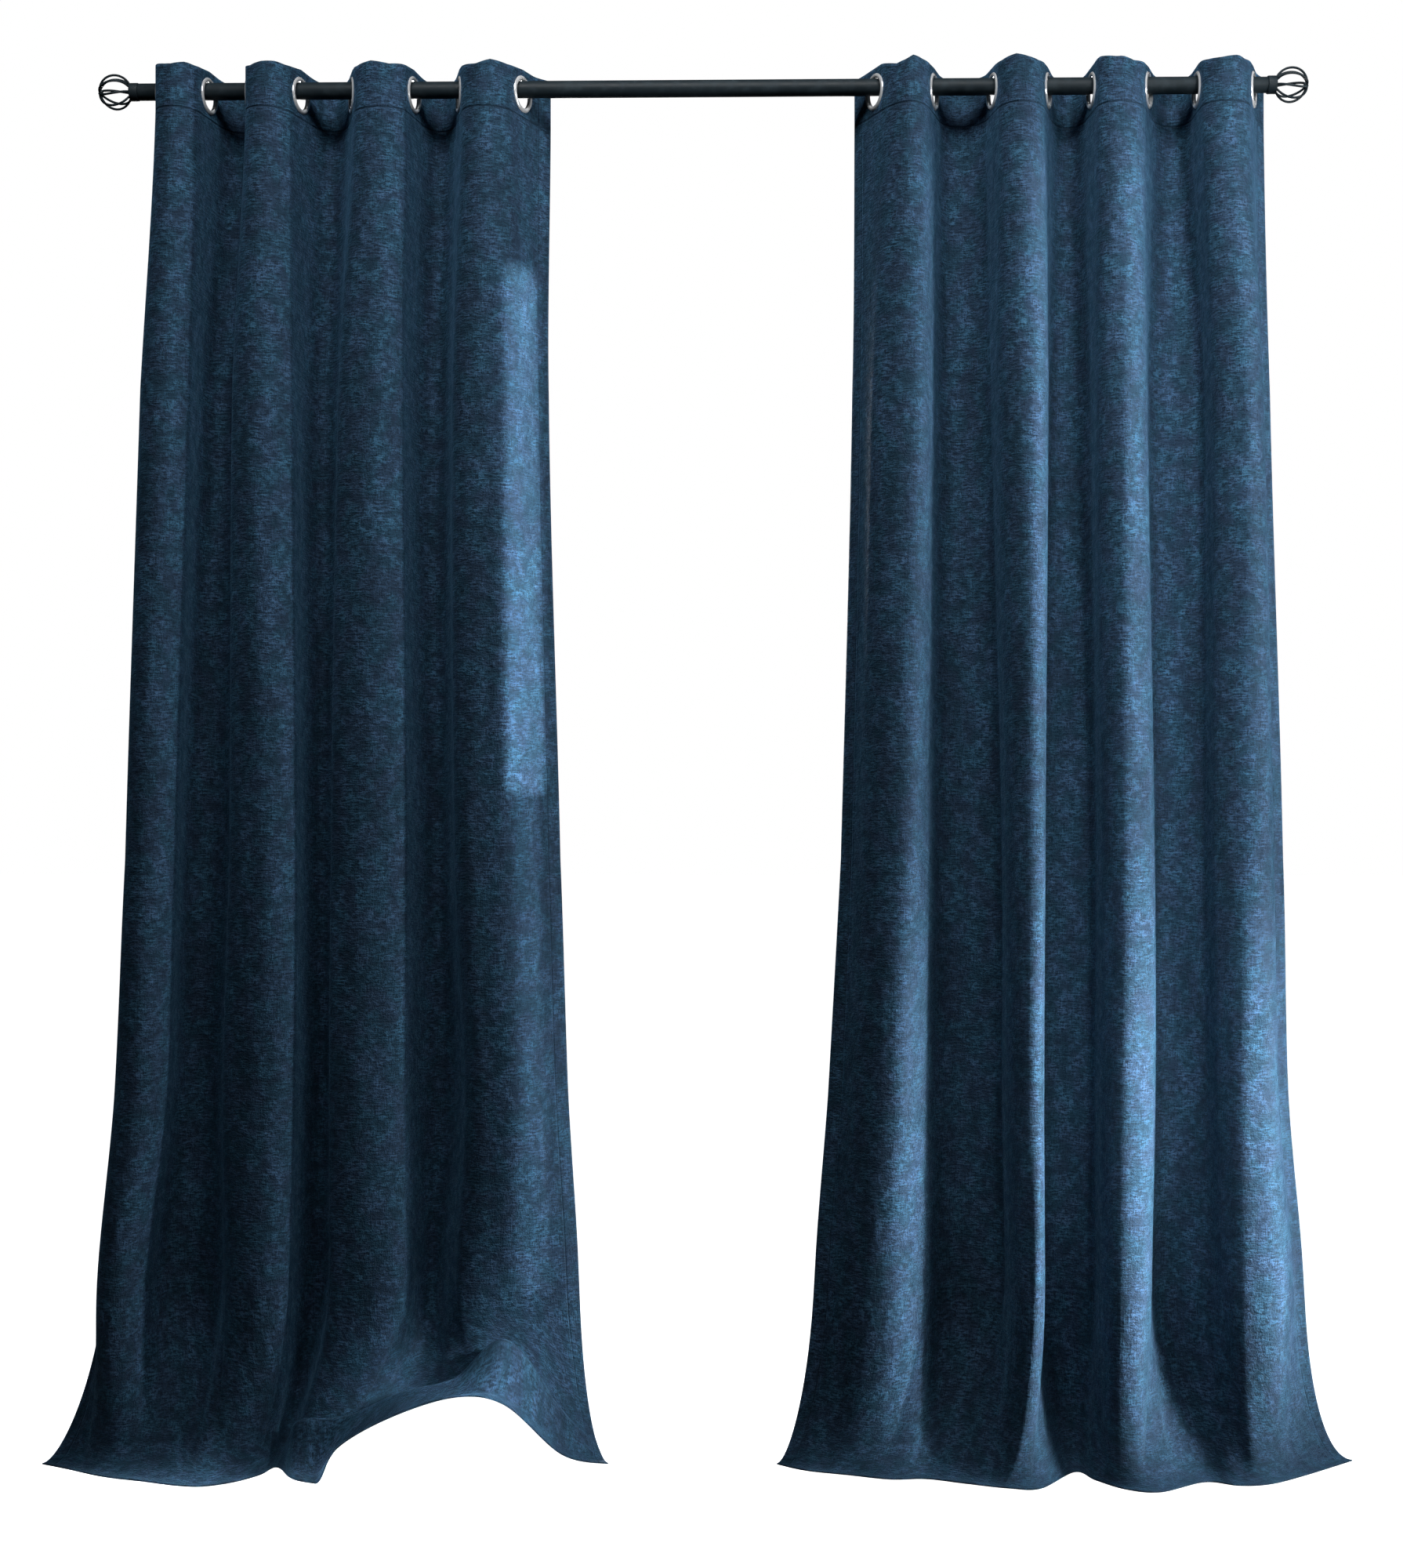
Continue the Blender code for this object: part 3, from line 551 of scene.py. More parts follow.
def new_group(name, inputs, outputs):
    """An empty node group. An input's value is None for a vector and a tuple for a colour."""
    group = bpy.data.node_groups.new(name, "ShaderNodeTree")
    kinds = {type(None): "NodeSocketVector", tuple: "NodeSocketColor"}
    for label, value in inputs.items():
        socket = group.interface.new_socket(
            label, in_out="INPUT", socket_type=kinds.get(type(value), "NodeSocketFloat"))
        if value is not None:
            socket.default_value = value
    for label in outputs:
        kind = "NodeSocketColor" if label == "Colour" else "NodeSocketFloat"
        group.interface.new_socket(label, in_out="OUTPUT", socket_type=kind)
    return group, group.nodes.new("NodeGroupInput"), group.nodes.new("NodeGroupOutput")


def set_values(node, values):
    """Set inputs of a node by their names."""
    for label, value in values.items():
        node.inputs[label].default_value = value


def link_values(tree, node, values):
    """Link values to inputs of a node by their names."""
    for label, value in values.items():
        tree.links.new(value, node.inputs[label])


def noise(group, vector, stretch, detail=2.0, roughness=0.5, distortion=0.0):
    """Noise value at a vector that is multiplied by three numbers."""
    scaled = group.nodes.new("ShaderNodeVectorMath")
    scaled.operation = "MULTIPLY"
    scaled.inputs[1].default_value = stretch
    group.links.new(vector, scaled.inputs[0])
    node = group.nodes.new("ShaderNodeTexNoise")
    set_values(node, {"Scale": 1.0, "Detail": detail, "Roughness": roughness,
                      "Distortion": distortion})
    group.links.new(scaled.outputs[0], node.inputs["Vector"])
    return node.outputs["Fac"]


def maths(group, operation, first, second=None, third=None):
    """A math node; each input is a socket or a number."""
    node = group.nodes.new("ShaderNodeMath")
    node.operation = operation
    for socket, value in zip(node.inputs, (first, second, third)):
        if value is None:
            continue
        if isinstance(value, (int, float)):
            socket.default_value = value
        else:
            group.links.new(value, socket)
    return node.outputs[0]


def ranged(group, value, low, high, to_low=0.0, to_high=1.0):
    """A value moved smoothly from one range to another."""
    node = group.nodes.new("ShaderNodeMapRange")
    node.interpolation_type = "SMOOTHSTEP"
    set_values(node, {"From Min": low, "From Max": high, "To Min": to_low, "To Max": to_high})
    group.links.new(value, node.inputs["Value"])
    return node.outputs["Result"]


def blend(group, share, first, second, mode="MIX"):
    """Two colours mixed by a share."""
    node = group.nodes.new("ShaderNodeMix")
    node.data_type = "RGBA"
    node.blend_type = mode
    for socket, value in ((node.inputs[0], share), (node.inputs[6], first),
                          (node.inputs[7], second)):
        if isinstance(value, (int, float, tuple)):
            socket.default_value = value
        else:
            group.links.new(value, socket)
    return node.outputs[2]


def chenille_group():
    """Slub, nap and mottling of a velvet chenille, in metres of flat cloth."""
    group, source, out = new_group(
        "Chenille nap",
        {"Cloth": None, "Deep": (0.01, 0.02, 0.03, 1), "Pile": (0.02, 0.05, 0.09, 1),
         "Brushed": (0.06, 0.13, 0.2, 1), "Mottling": 1.0},
        ("Colour", "Height", "Roughness"))
    cloth = source.outputs["Cloth"]
    weft = noise(group, cloth, (90, 380, 1), detail=3, roughness=0.6)
    warp = noise(group, cloth, (420, 90, 1), detail=3, roughness=0.6)
    pile = noise(group, cloth, (560, 560, 1))
    patch = noise(group, cloth, (46, 52, 1), detail=6, roughness=0.66, distortion=0.2)
    drift = noise(group, cloth, (26, 7, 1), detail=3)
    hue = noise(group, cloth, (30, 24, 1))
    threads = maths(group, "ADD", maths(group, "MULTIPLY", weft, 0.5),
                    maths(group, "MULTIPLY", warp, 0.25))
    height = maths(group, "ADD", threads, maths(group, "MULTIPLY", pile, 0.25))
    brushed = maths(group, "MULTIPLY", ranged(group, patch, 0.36, 0.64),
                    source.outputs["Mottling"])
    lit = maths(group, "MULTIPLY", ranged(group, height, 0.44, 0.58), brushed)
    sunk = maths(group, "MULTIPLY", ranged(group, height, 0.52, 0.40), 0.75)
    colour = blend(group, lit, source.outputs["Pile"], source.outputs["Brushed"])
    colour = blend(group, sunk, colour, source.outputs["Deep"])
    colour = blend(group, ranged(group, drift, 0.35, 0.65, 0.0, 0.40), colour,
                   source.outputs["Deep"])
    tint = blend(group, ranged(group, hue, 0.38, 0.62), (0.90, 1.03, 1.00, 1.0),
                 (1.14, 0.97, 1.03, 1.0))
    colour = blend(group, 1.0, colour, tint, "MULTIPLY")
    link_values(group, out, {"Colour": colour, "Height": maths(group, "ADD", patch, height),
                             "Roughness": ranged(group, patch, 0.35, 0.65, 0.60, 0.44)})
    return group


def stitch_group():
    """The sewn line across the heading and those along the side hems."""
    group, source, out = new_group(
        "Sewn lines", {"Cloth": None, "Down": HEADING_DEPTH, "Aside": 0.024, "Stitch": 0.0035},
        ("Groove", "Thread"))
    split = group.nodes.new("ShaderNodeSeparateXYZ")
    group.links.new(source.outputs["Cloth"], split.inputs[0])
    across, down = split.outputs["X"], split.outputs["Y"]
    from_line = maths(group, "ABSOLUTE", maths(group, "SUBTRACT", down, source.outputs["Down"]))
    from_middle = maths(group, "ABSOLUTE", maths(group, "SUBTRACT", across, PANEL_WIDTH / 2))
    hem = maths(group, "SUBTRACT", PANEL_WIDTH / 2, source.outputs["Aside"])
    from_hem = maths(group, "ABSOLUTE", maths(group, "SUBTRACT", from_middle, hem))
    groove = maths(group, "MAXIMUM", ranged(group, from_line, 0.0026, 0.0002),
                   ranged(group, from_hem, 0.0022, 0.0002, 0.0, 0.7))
    step = maths(group, "FRACT", maths(group, "DIVIDE", across, source.outputs["Stitch"]))
    thread = maths(group, "MULTIPLY", ranged(group, from_line, 0.0008, 0.0004),
                   ranged(group, step, 0.22, 0.30))
    link_values(group, out, {"Groove": groove, "Thread": thread})
    return group


def wear_group():
    """Fine marks on a metal surface, read from its place in the room."""
    group, source, out = new_group(
        "Handled metal",
        {"Place": None, "Colour": (0.5, 0.5, 0.5, 1), "Worn": (0.5, 0.5, 0.5, 1),
         "Smooth": 0.2, "Rough": 0.4},
        ("Colour", "Roughness", "Height"))
    place = source.outputs["Place"]
    smudge = noise(group, place, (60, 60, 60), detail=4)
    grain = noise(group, place, (260, 1100, 1100))
    colour = blend(group, ranged(group, smudge, 0.45, 0.75, 0.0, 0.7),
                   source.outputs["Colour"], source.outputs["Worn"])
    spread = maths(group, "SUBTRACT", source.outputs["Rough"], source.outputs["Smooth"])
    rough = maths(group, "MULTIPLY_ADD", ranged(group, smudge, 0.3, 0.7), spread,
                  source.outputs["Smooth"])
    link_values(group, out, {"Colour": colour, "Roughness": rough, "Height": grain})
    return group


def shared_group(name, maker):
    """A node group, made the first time that a finish asks for it."""
    return bpy.data.node_groups.get(name) or maker()


def finish(name):
    """A new material with its shader, ready for nodes."""
    made = bpy.data.materials.new(name)
    made.use_nodes = True
    return made, made.node_tree, made.node_tree.nodes["Principled BSDF"]


def place_group(tree, group, values):
    """A shared group in a material, with its own values."""
    node = tree.nodes.new("ShaderNodeGroup")
    node.node_tree = group
    set_values(node, values)
    return node


def bump(tree, shader, height, strength, distance, onto=None):
    """Relief for a shader, on top of an earlier relief where there is one."""
    node = tree.nodes.new("ShaderNodeBump")
    set_values(node, {"Strength": strength, "Distance": distance})
    tree.links.new(height, node.inputs["Height"])
    if onto:
        tree.links.new(onto.outputs["Normal"], node.inputs["Normal"])
    tree.links.new(node.outputs["Normal"], shader.inputs["Normal"])
    return node


def velvet(name, colours, pile_painted_shade):
    """Navy chenille velvet: threads, brushed patches, sewn heading and sheen. Its pile colour is
    darkened by the given factor, which is painted shade for a panel that stands in less light.
    """
    made, tree, shader = finish(name)
    cloth = tree.nodes.new("ShaderNodeUVMap")
    cloth.uv_map = "Cloth"
    # Painted shade: the pile colour is scaled down for a panel that stands in less light.
    pile = tuple(c * pile_painted_shade for c in colours.pile[:3]) + (1.0,)
    nap = place_group(tree, shared_group("Chenille nap", chenille_group),
                      {"Deep": colours.deep, "Pile": pile, "Brushed": colours.brushed})
    line = place_group(tree, shared_group("Sewn lines", stitch_group), {})
    for node in (nap, line):
        tree.links.new(cloth.outputs["UV"], node.inputs["Cloth"])
    colour = blend(tree, maths(tree, "MULTIPLY", line.outputs["Groove"], 0.75),
                   nap.outputs["Colour"], tuple(colours.deep))
    colour = blend(tree, maths(tree, "MULTIPLY", line.outputs["Thread"], 0.5), colour, pile)
    link_values(tree, shader, {"Base Color": colour, "Roughness": nap.outputs["Roughness"]})
    set_values(shader, {"Specular IOR Level": 0.18, "Specular Tint": (0.24, 0.58, 1.0, 1.0),
                        "Sheen Weight": 0.27, "Sheen Roughness": 0.32,
                        "Sheen Tint": (0.18, 0.46, 0.80, 1.0)})
    relief = bump(tree, shader, nap.outputs["Height"], strength=0.95, distance=0.0034)
    sunk = maths(tree, "MULTIPLY", line.outputs["Groove"], -1.0)
    bump(tree, shader, sunk, strength=0.8, distance=0.0015, onto=relief)
    return made


def metal(name, colour, worn, smooth, rough, metallic, shine=0.5):
    """A painted or polished metal with light marks of handling."""
    made, tree, shader = finish(name)
    place = tree.nodes.new("ShaderNodeTexCoord")
    marks = place_group(tree, shared_group("Handled metal", wear_group),
                        {"Colour": colour, "Worn": worn, "Smooth": smooth, "Rough": rough})
    tree.links.new(place.outputs["Object"], marks.inputs["Place"])
    link_values(tree, shader, {"Base Color": marks.outputs["Colour"],
                               "Roughness": marks.outputs["Roughness"]})
    set_values(shader, {"Metallic": metallic, "Specular IOR Level": shine})
    bump(tree, shader, marks.outputs["Height"], strength=0.08, distance=0.0003)
    return made


def black_paint(colours):
    """Satin black paint of the rod and its finials."""
    return bpy.data.materials.get("satin_black") or metal(
        "satin_black", colours.rod_paint, (0.020, 0.031, 0.038, 1), smooth=0.48, rough=0.60,
        metallic=0.0, shine=0.16)


def polished_steel(colours):
    """Bright plated steel of the eyelets."""
    return bpy.data.materials.get("polished_steel") or metal(
        "polished_steel", colours.ring_steel, (0.62, 0.65, 0.68, 1), smooth=0.12, rough=0.26,
        metallic=0.6)


def select_rim(piece, height):
    """In edit mode, select only the vertices of a piece at one height."""
    bpy.ops.mesh.select_all(action="DESELECT")
    bpy.ops.object.mode_set(mode="OBJECT")
    for vertex in piece.data.vertices:
        vertex.select = abs(vertex.co.z - height) < 1e-6
    bpy.ops.object.mode_set(mode="EDIT")


def model_eyelet(sizes):
    """One eyelet about Z at the origin: a barrel with a domed, rolled rim on each side."""
    deselect_all()
    inner, outer = sizes.ring_inner, sizes.ring_outer
    face = sizes.cloth_thickness / 2
    bpy.ops.mesh.primitive_cylinder_add(vertices=RING_SIDES, radius=inner, depth=2 * face,
                                        end_fill_type="NOTHING")
    ring = bpy.context.object
    # Radius and height of the rim's edges, from the opening to the cloth.
    profile = ((inner + 0.0001, face + 0.0009), (inner + 0.0007, face + 0.0019),
               (inner + 0.0020, face + 0.0025), (inner + 0.0036, face + 0.0025),
               (inner + 0.0052, face + 0.0019), (outer - 0.0006, face + 0.0011),
               (outer, face + 0.0005), (outer - 0.0002, face + 0.0001))
    for side in (1, -1):
        bpy.ops.object.mode_set(mode="EDIT")
        bpy.ops.mesh.select_mode(type="VERT")
        select_rim(ring, side * face)
        radius, height = inner, face
        for next_radius, next_height in profile:
            rise, widen = side * (next_height - height), next_radius / radius
            bpy.ops.mesh.extrude_region_move(TRANSFORM_OT_translate={"value": (0, 0, rise)})
            bpy.ops.transform.resize(value=(widen, widen, 1), center_override=(0, 0, 0))
            radius, height = next_radius, next_height
        bpy.ops.object.mode_set(mode="OBJECT")
    bpy.ops.object.mode_set(mode="EDIT")
    bpy.ops.mesh.select_all(action="DESELECT")
    bpy.ops.mesh.select_non_manifold(extend=False)
    bpy.ops.mesh.bridge_edge_loops()
    bpy.ops.mesh.select_all(action="SELECT")
    bpy.ops.mesh.normals_make_consistent(inside=False)
    bpy.ops.object.mode_set(mode="OBJECT")
    return ring


def model_tube(name, start, end, radius, chamfer):
    """A closed round bar along X with softened end edges."""
    deselect_all()
    bpy.ops.mesh.primitive_cylinder_add(vertices=ROD_SIDES, radius=radius, depth=end - start,
                                        location=((start + end) / 2, 0, 0),
                                        rotation=(0, math.pi / 2, 0))
    tube = bpy.context.object
    tube.name = name
    bpy.ops.object.mode_set(mode="EDIT")
    bpy.ops.mesh.select_mode(type="FACE")
    bpy.ops.mesh.select_all(action="DESELECT")
    bpy.ops.mesh.select_face_by_sides(number=ROD_SIDES, type="EQUAL")
    bpy.ops.mesh.bevel(offset=chamfer, segments=3, affect="EDGES")
    bpy.ops.object.mode_set(mode="OBJECT")
    return tube


def join_as(name, parts):
    """Join parts into one piece."""
    deselect_all()
    for part in parts:
        part.select_set(True)
    bpy.context.view_layer.objects.active = parts[0]
    bpy.ops.object.join()
    parts[0].name = name
    parts[0].data.name = name
    return parts[0]


def model_wire(points, diameter):
    """One round wire along a smooth line of points, as a mesh."""
    deselect_all()
    bpy.ops.curve.primitive_nurbs_path_add()
    wire = bpy.context.object
    wire.data.splines.clear()
    spline = wire.data.splines.new("NURBS")
    spline.points.add(len(points) - 1)
    for spot, point in zip(spline.points, points):
        spot.co = (*point, 1)
    spline.use_endpoint_u = True
    spline.order_u = 4
    spline.resolution_u = 3
    wire.data.bevel_depth = diameter / 2
    wire.data.bevel_resolution = 2
    wire.data.use_fill_caps = True
    pick(wire)
    bpy.ops.object.convert(target="MESH")
    return bpy.context.object


class CurtainSizes(PropertyGroup):
    """Sizes of the curtains and their hardware."""

    cloth_thickness: FloatProperty(
        name="Cloth thickness", default=0.002, unit="LENGTH", description="Velvet with its pile")
    fold_steps: IntProperty(
        name="Steps in a fold", default=24, description="Mesh columns between two eyelets")
    flat_steps: IntProperty(
        name="Steps at an eyelet", default=8, description="Mesh columns in its flat cloth")
    side_steps: IntProperty(
        name="Steps at a side", default=8, description="Mesh columns outside the last eyelet")
    foot_pitch: FloatProperty(
        name="Foot row pitch", default=0.0052, unit="LENGTH", description="Rows near the floor")
    body_pitch: FloatProperty(
        name="Body row pitch", default=0.0185, unit="LENGTH", description="Rows higher up")
    rod_diameter: FloatProperty(
        name="Rod", default=0.025, unit="LENGTH", description="Diameter of its outer tube")
    rod_inner: FloatProperty(
        name="Inner rod", default=0.0232, unit="LENGTH",
        description="Diameter of the tube at the rod's right end")
    ring_outer: FloatProperty(
        name="Eyelet outside", default=0.027, unit="LENGTH", description="Radius of its rim")
    ring_inner: FloatProperty(
        name="Eyelet opening", default=0.0205, unit="LENGTH", description="Radius inside")
    collar_diameter: FloatProperty(
        name="Collar", default=0.0265, unit="LENGTH", description="Diameter, beside a ball")
    collar_length: FloatProperty(
        name="Collar length", default=0.013, unit="LENGTH", description="Along the rod")
    ball_length: FloatProperty(
        name="Ball length", default=0.0475, unit="LENGTH", description="Collar to knob's tip")
    ball_diameter: FloatProperty(
        name="Ball diameter", default=0.0525, unit="LENGTH", description="Across the wires")
    wire_diameter: FloatProperty(
        name="Ball wire", default=0.0035, unit="LENGTH", description="Thickness of a wire")
    knob_radius: FloatProperty(
        name="Tip knob", default=0.0034, unit="LENGTH", description="Knob that closes a ball")


class CurtainColours(PropertyGroup):
    """Colours of the cloth, the metal and the floor."""

    deep: FloatVectorProperty(
        name="Velvet, deep", size=4, subtype="COLOR", default=(0.0060, 0.0092, 0.0145, 1),
        description="Between the threads")
    pile: FloatVectorProperty(
        name="Velvet, pile", size=4, subtype="COLOR", default=(0.0150, 0.0330, 0.0560, 1),
        description="Most of the pile")
    brushed: FloatVectorProperty(
        name="Velvet, brushed", size=4, subtype="COLOR", default=(0.042, 0.105, 0.180, 1),
        description="Pile that lies over and shines")
    rod_paint: FloatVectorProperty(
        name="Rod paint", size=4, subtype="COLOR", default=(0.009, 0.015, 0.019, 1),
        description="Satin black")
    ring_steel: FloatVectorProperty(
        name="Eyelet steel", size=4, subtype="COLOR", default=(0.86, 0.88, 0.90, 1),
        description="Bright plating")
    ground: FloatVectorProperty(
        name="Floor", size=4, subtype="COLOR", default=(0.95, 0.95, 0.95, 1),
        description="Studio floor")
    ground_bounce: FloatVectorProperty(
        name="Floor's light", size=4, subtype="COLOR", default=(0.06, 0.06, 0.06, 1),
        description="How much light the floor throws back")


class CURTAINS_OT_stage(Operator):
    """Set the pale floor, the soft lights and the camera"""

    bl_idname = "curtains.stage"
    bl_label = "Stage"
    # In metres, watts and degrees. The softbox and the right strip light the whole,
    # and the others one part each: fold sides, foot, backs, hem and lit band.
    LIGHT_COLUMNS = ("name", "place", "target", "width", "height", "power", "spread")
    LIGHTS = (
        ("high_softbox", (0.1, -1.5, 1.15), (0.05, 0.0, -0.05), 2.2, 0.7, 37, 125),
        ("right_strip", (3.3, -0.75, -1.0), (0.5, -0.05, -1.1), 0.24, 2.2, 28, 90),
        ("right_front_strip", (2.9, -1.45, -0.95), (0.74, 0.0, -1.0), 0.30, 2.0, 3.1, 26),
        ("crest_strip", (2.5, -0.98, -0.75), (0.51, -0.05, -0.78), 0.11, 1.35, 1.3, 5),
        ("right_fill", (1.2, -2.5, -0.85), (0.76, 0.0, -0.85), 0.3, 1.7, 2.5, 15),
        ("low_strip", (2.3, -0.85, -1.5), (0.74, -0.1, -1.62), 0.25, 0.65, 4.2, 17),
        ("foot_light", (-0.75, -0.9, -1.2), (-0.75, -0.12, -2.09), 0.9, 0.06, 0.70, 8),
        ("back_left_strip", (-0.95, 2.6, -1.0), (-0.56, 0.0, -1.05), 0.5, 1.8, 11, 36),
        ("back_right_strip", (0.95, 2.6, -1.0), (0.56, 0.0, -1.05), 0.5, 1.8, 11, 36),
        ("hem_light", (0.35, -0.75, -1.50), (-0.29, -0.14, -1.93), 0.15, 0.2, 0.34, 16),
        ("gap_strip_high", (0.55, -0.85, -0.66), (-0.246, -0.03, -0.66), 0.072, 0.78, 0.86, 1.6),
        ("gap_strip_low", (0.55, -0.85, -1.42), (-0.250, -0.03, -1.42), 0.046, 0.74, 0.12, 1.6),
    )

    def execute(self, context):
        colours = context.scene.curtain_colours
        deselect_all()
        bpy.ops.mesh.primitive_plane_add(size=40, location=(0, 0, FLOOR - 0.0015))
        floor = context.object
        floor.name = "studio_floor"
        paint, tree, shader = finish("studio_white")
        seen = tree.nodes.new("ShaderNodeLightPath").outputs["Is Camera Ray"]
        link_values(tree, shader, {
            "Base Color": blend(tree, seen, tuple(colours.ground_bounce), tuple(colours.ground)),
            "Emission Color": blend(tree, seen, (0.0, 0.0, 0.0, 1.0), (1.0, 1.0, 1.0, 1.0))})
        set_values(shader, {"Roughness": 0.9, "Specular IOR Level": 0.1,
                            "Emission Strength": 1.0})
        floor.data.materials.append(paint)
        for row in self.LIGHTS:
            self.add_light(**dict(zip(self.LIGHT_COLUMNS, row)))
        bpy.ops.object.light_add(type="SUN", location=(0, 0, 2))
        context.object.name = "ceiling_glow"
        context.object.data.energy = 0.05
        context.object.data.angle = math.radians(30)
        self.add_camera(context)
        self.add_sky(context)
        return {"FINISHED"}

    def add_light(self, name, place, target, width, height, power, spread):
        """One soft rectangular light, turned to face its target."""
        deselect_all()
        way = Vector(target) - Vector(place)
        bpy.ops.object.light_add(type="AREA", location=place,
                                 rotation=way.to_track_quat("-Z", "Y").to_euler())
        light = bpy.context.object
        light.name = name
        light.data.shape = "RECTANGLE"
        light.data.size = width
        light.data.size_y = height
        light.data.energy = power
        light.data.spread = math.radians(spread)

    def add_camera(self, context):
        """A level camera at the height of the middle of the curtains."""
        distance, image_height, metres_a_pixel, film = 3.1, 2000, 0.00117, 36
        aside, below, turn = 0.0625, -1.038, 1.115
        bpy.ops.object.camera_add()
        camera = context.object
        camera.name = "front_camera"
        camera.data.sensor_fit = "VERTICAL"
        camera.data.sensor_height = film
        camera.data.lens = film * distance / (image_height * metres_a_pixel)
        camera.matrix_world = (Matrix.Translation((aside, -distance, below))
                               @ Matrix.Rotation(math.radians(turn), 4, "Z")
                               @ Matrix.Rotation(math.radians(90), 4, "X"))
        context.scene.camera = camera

    def add_sky(self, context):
        """White where the camera sees it, with hardly any light of its own."""
        glow = 0.008
        sky = bpy.data.worlds.new("studio_sky")
        sky.use_nodes = True
        tree = sky.node_tree
        tree.nodes["Background"].inputs["Color"].default_value = (1, 1, 1, 1)
        seen = tree.nodes.new("ShaderNodeLightPath").outputs["Is Camera Ray"]
        tree.links.new(maths(tree, "MULTIPLY_ADD", seen, 1 - glow, glow),
                       tree.nodes["Background"].inputs["Strength"])
        context.scene.world = sky
        context.scene.view_settings.view_transform = "Standard"


class CURTAINS_OT_rod(Operator):
    """Model the two tubes of the rod"""

    bl_idname = "curtains.rod"
    bl_label = "Rod"

    def execute(self, context):
        sizes = context.scene.curtain_sizes
        outer = model_tube("outer_tube", -ROD_REACH, OUTER_TUBE_ENDS, sizes.rod_diameter / 2,
                           0.0006)
        inner = model_tube("inner_tube", OUTER_TUBE_ENDS - TUBE_OVERLAP, ROD_REACH,
                           sizes.rod_inner / 2, 0.0004)
        rod = join_as("curtain_rod", [outer, inner])
        settle(rod, black_paint(context.scene.curtain_colours))
        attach(rod, "root")
        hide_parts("rod")
        return {"FINISHED"}


class CURTAINS_OT_finials(Operator):
    """Model the collar and the wire ball at each end of the rod"""

    bl_idname = "curtains.finials"
    bl_label = "Ball finials"

    def execute(self, context):
        sizes = context.scene.curtain_sizes
        start = ROD_REACH + COLLAR_GAP
        for name, side in (("finial_left", -1), ("finial_right", 1)):
            ends = sorted((side * start, side * (start + sizes.collar_length)))
            parts = [model_tube("collar", *ends, sizes.collar_diameter / 2, 0.0012)]
            for number in range(BALL_WIRES):
                parts.append(model_wire(self.wire_line(sizes, number, side),
                                        sizes.wire_diameter))
            deselect_all()
            tip = start + sizes.collar_length + sizes.ball_length - sizes.knob_radius
            bpy.ops.mesh.primitive_uv_sphere_add(segments=24, ring_count=16,
                                                 radius=sizes.knob_radius,
                                                 location=(side * tip, 0, 0))
            parts.append(context.object)
            finial = join_as("ball_" + name, parts)
            settle(finial, black_paint(context.scene.curtain_colours), 45)
            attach(finial, "root")
            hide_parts(name)
        return {"FINISHED"}

    def wire_line(self, sizes, number, side):
        """Centre line of one wire, bowed from the collar to the knob."""
        reach = (sizes.ball_diameter - sizes.wire_diameter) / 2
        half = (sizes.ball_length - sizes.knob_radius) / 2
        middle = ROD_REACH + COLLAR_GAP + sizes.collar_length + half
        first = math.asin(WIRE_ROOT / reach)
        turn = math.tau * (number + 0.5) / BALL_WIRES
        points = [None]
        for step in range(WIRE_STEPS + 1):
            share = step / WIRE_STEPS
            polar = first + (math.pi - first) * share
            around = turn + math.radians(WIRE_TWIST) * (share - 0.5)
            radius = reach * math.sin(polar)
            along = middle - half * math.cos(polar) / math.cos(first)
            points.append(Vector((side * along, radius * math.cos(around),
                                  radius * math.sin(around))))
        points[0] = points[1] - Vector((side * WIRE_TAIL, 0, 0))
        return points


class CURTAINS_OT_eyelets(Operator):
    """Model one eyelet and set a copy in each hole of both panels"""

    bl_idname = "curtains.eyelets"
    bl_label = "Eyelets"

    def execute(self, context):
        sizes = context.scene.curtain_sizes
        steel = polished_steel(context.scene.curtain_colours)
        model = model_eyelet(sizes)
        for side, folds in (("left", LEFT_FOLDS), ("right", RIGHT_FOLDS)):
            for number, spot, way in eyelet_places(folds):
                ring = model.copy()
                ring.data = model.data.copy()
                ring.name = f"ring_{side}_{number + 1}"
                ring.data.name = ring.name
                context.collection.objects.link(ring)
                turn = Matrix.Rotation(math.atan2(way[1], way[0]), 4, "Z")
                ring.data.transform(Matrix.Translation(Vector(spot)) @ turn
                                    @ Matrix.Rotation(math.pi / 2, 4, "X"))
                settle(ring, steel, 40)
                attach(ring, "root")
                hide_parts(f"eyelet_{side}_{number + 1}")
        bpy.data.objects.remove(model, do_unlink=True)
        return {"FINISHED"}


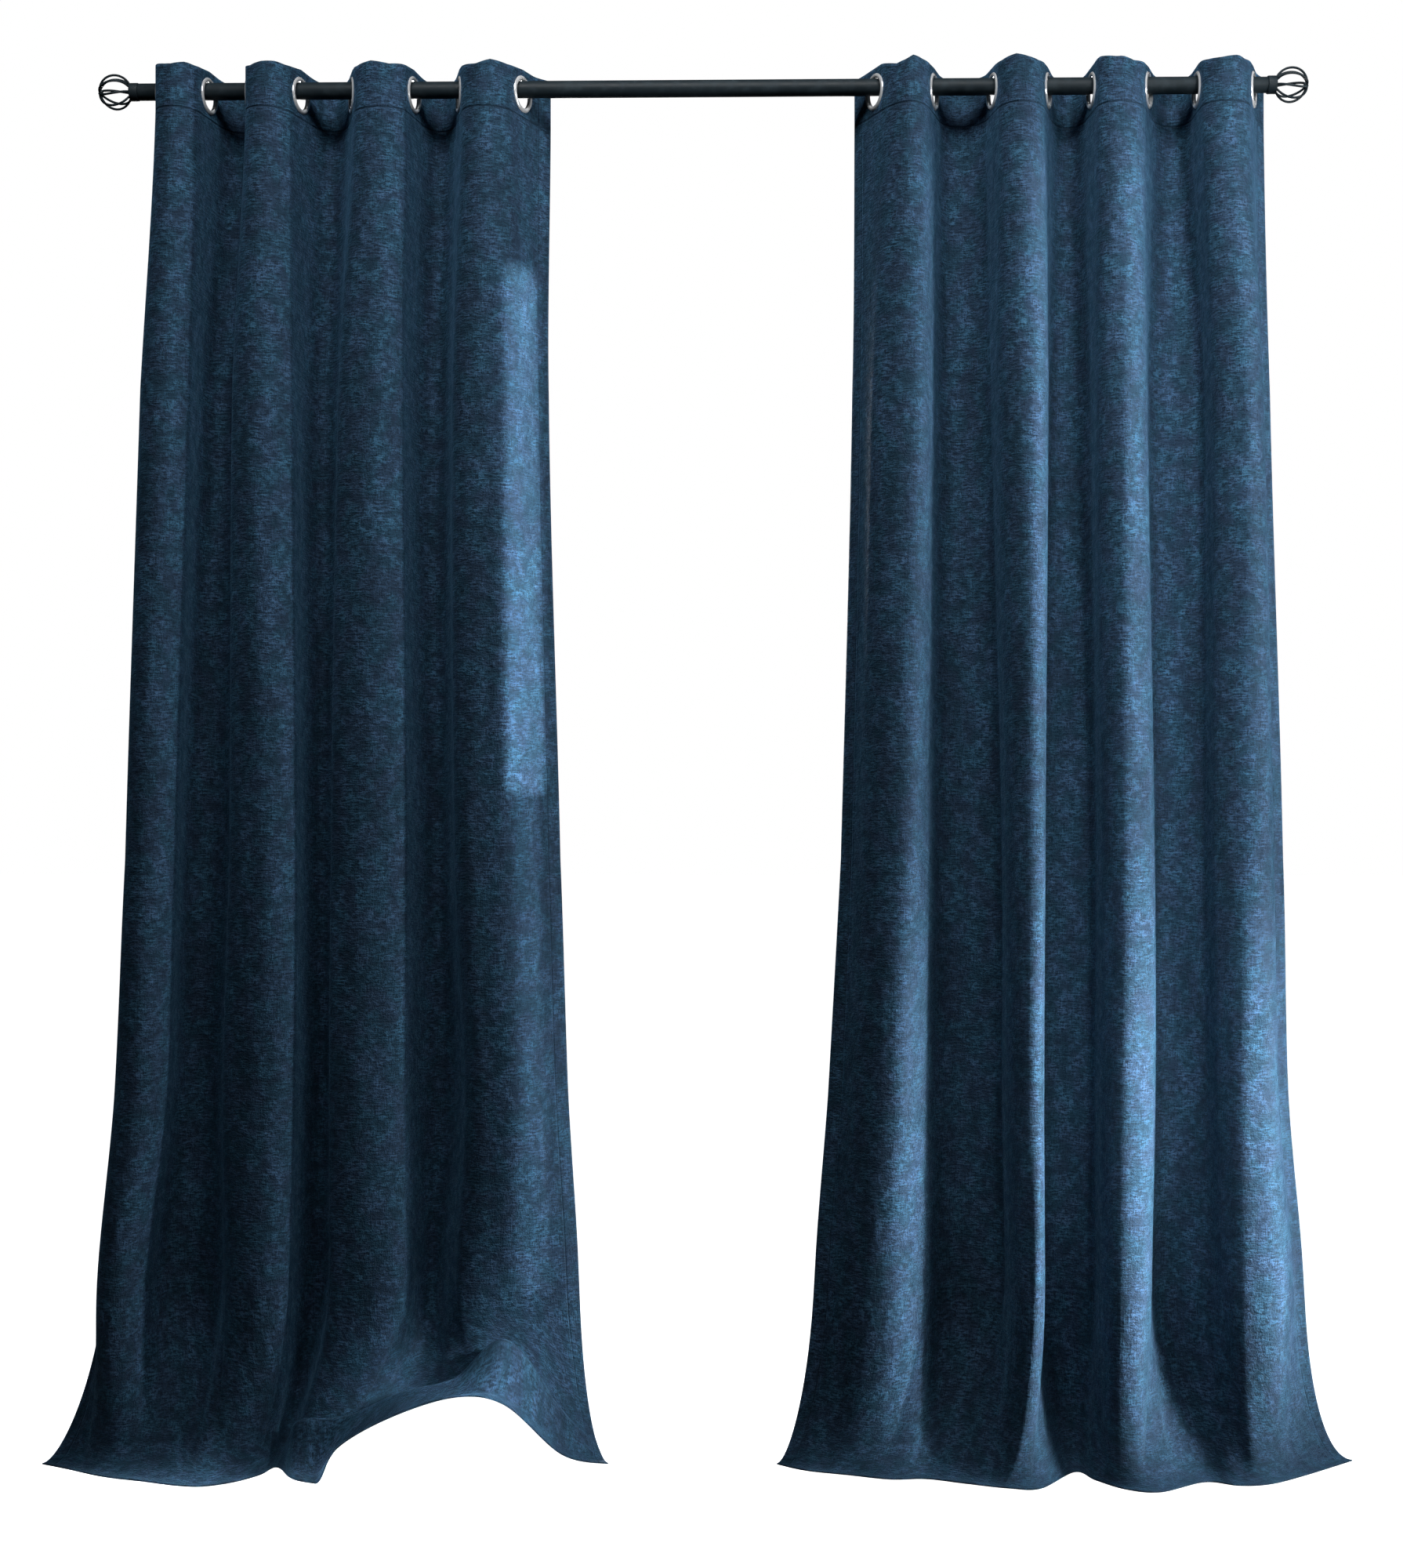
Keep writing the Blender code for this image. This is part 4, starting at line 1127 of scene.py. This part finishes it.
class CURTAINS_OT_panels(Operator):
    """Hang the two velvet panels from the rod to the floor"""

    bl_idname = "curtains.panels"
    bl_label = "Velvet panels"

    def execute(self, context):
        sizes = context.scene.curtain_sizes
        colours = context.scene.curtain_colours
        # The last value in each row darkens that panel's pile. It is painted shade: 0.92 on the
        # left panel, which stands in less light, and 1.0 on the right.
        for side, folds, foot, heading, creases, panel_painted_shade in (
                ("left", LEFT_FOLDS, LEFT_FOOT, LEFT_HEADING, LEFT_CREASES, 0.92),
                ("right", RIGHT_FOLDS, RIGHT_FOOT, RIGHT_HEADING, RIGHT_CREASES, 1.0)):
            grid, cloth, places = sheet_grid(folds, foot, heading, creases, sizes)
            gone = cut_holes(grid, cloth, places, folds, sizes.ring_inner + HOLE_MARGIN)
            surface = velvet(f"{side}_velvet", colours, panel_painted_shade)
            panel = sheet_object(f"velvet_{side}", grid, cloth, gone, sizes.cloth_thickness,
                                 surface)
            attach(panel, "root")
            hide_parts(f"{side}_panel")
        return {"FINISHED"}


class CURTAINS_PT_build(Panel):
    """Buttons that build the curtains piece by piece"""

    bl_label = "Eyelet curtains"
    bl_idname = "CURTAINS_PT_build"
    bl_space_type = "VIEW_3D"
    bl_region_type = "UI"
    bl_category = "Curtains"

    def draw(self, context):
        layout = self.layout
        for kind in BUILD_ORDER:
            layout.operator(kind.bl_idname, text=kind.bl_label)
        for group in (context.scene.curtain_sizes, context.scene.curtain_colours):
            box = layout.box()
            for name in group.__annotations__:
                box.prop(group, name)


BUILD_ORDER = (CURTAINS_OT_stage, CURTAINS_OT_rod, CURTAINS_OT_finials, CURTAINS_OT_eyelets,
               CURTAINS_OT_panels)
CLASSES = (CurtainSizes, CurtainColours) + BUILD_ORDER + (CURTAINS_PT_build,)


def register():
    """Add the classes and the scene's settings."""
    for kind in CLASSES:
        bpy.utils.register_class(kind)
    bpy.types.Scene.curtain_sizes = PointerProperty(type=CurtainSizes)
    bpy.types.Scene.curtain_colours = PointerProperty(type=CurtainColours)


def unregister():
    """Take them away again."""
    del bpy.types.Scene.curtain_colours
    del bpy.types.Scene.curtain_sizes
    for kind in reversed(CLASSES):
        bpy.utils.unregister_class(kind)


def main():
    """Build the curtains."""
    register()
    bpy.ops.curtains.stage()
    bpy.ops.curtains.rod()
    bpy.ops.curtains.finials()
    bpy.ops.curtains.eyelets()
    bpy.ops.curtains.panels()


if __name__ == "__main__":
    main()
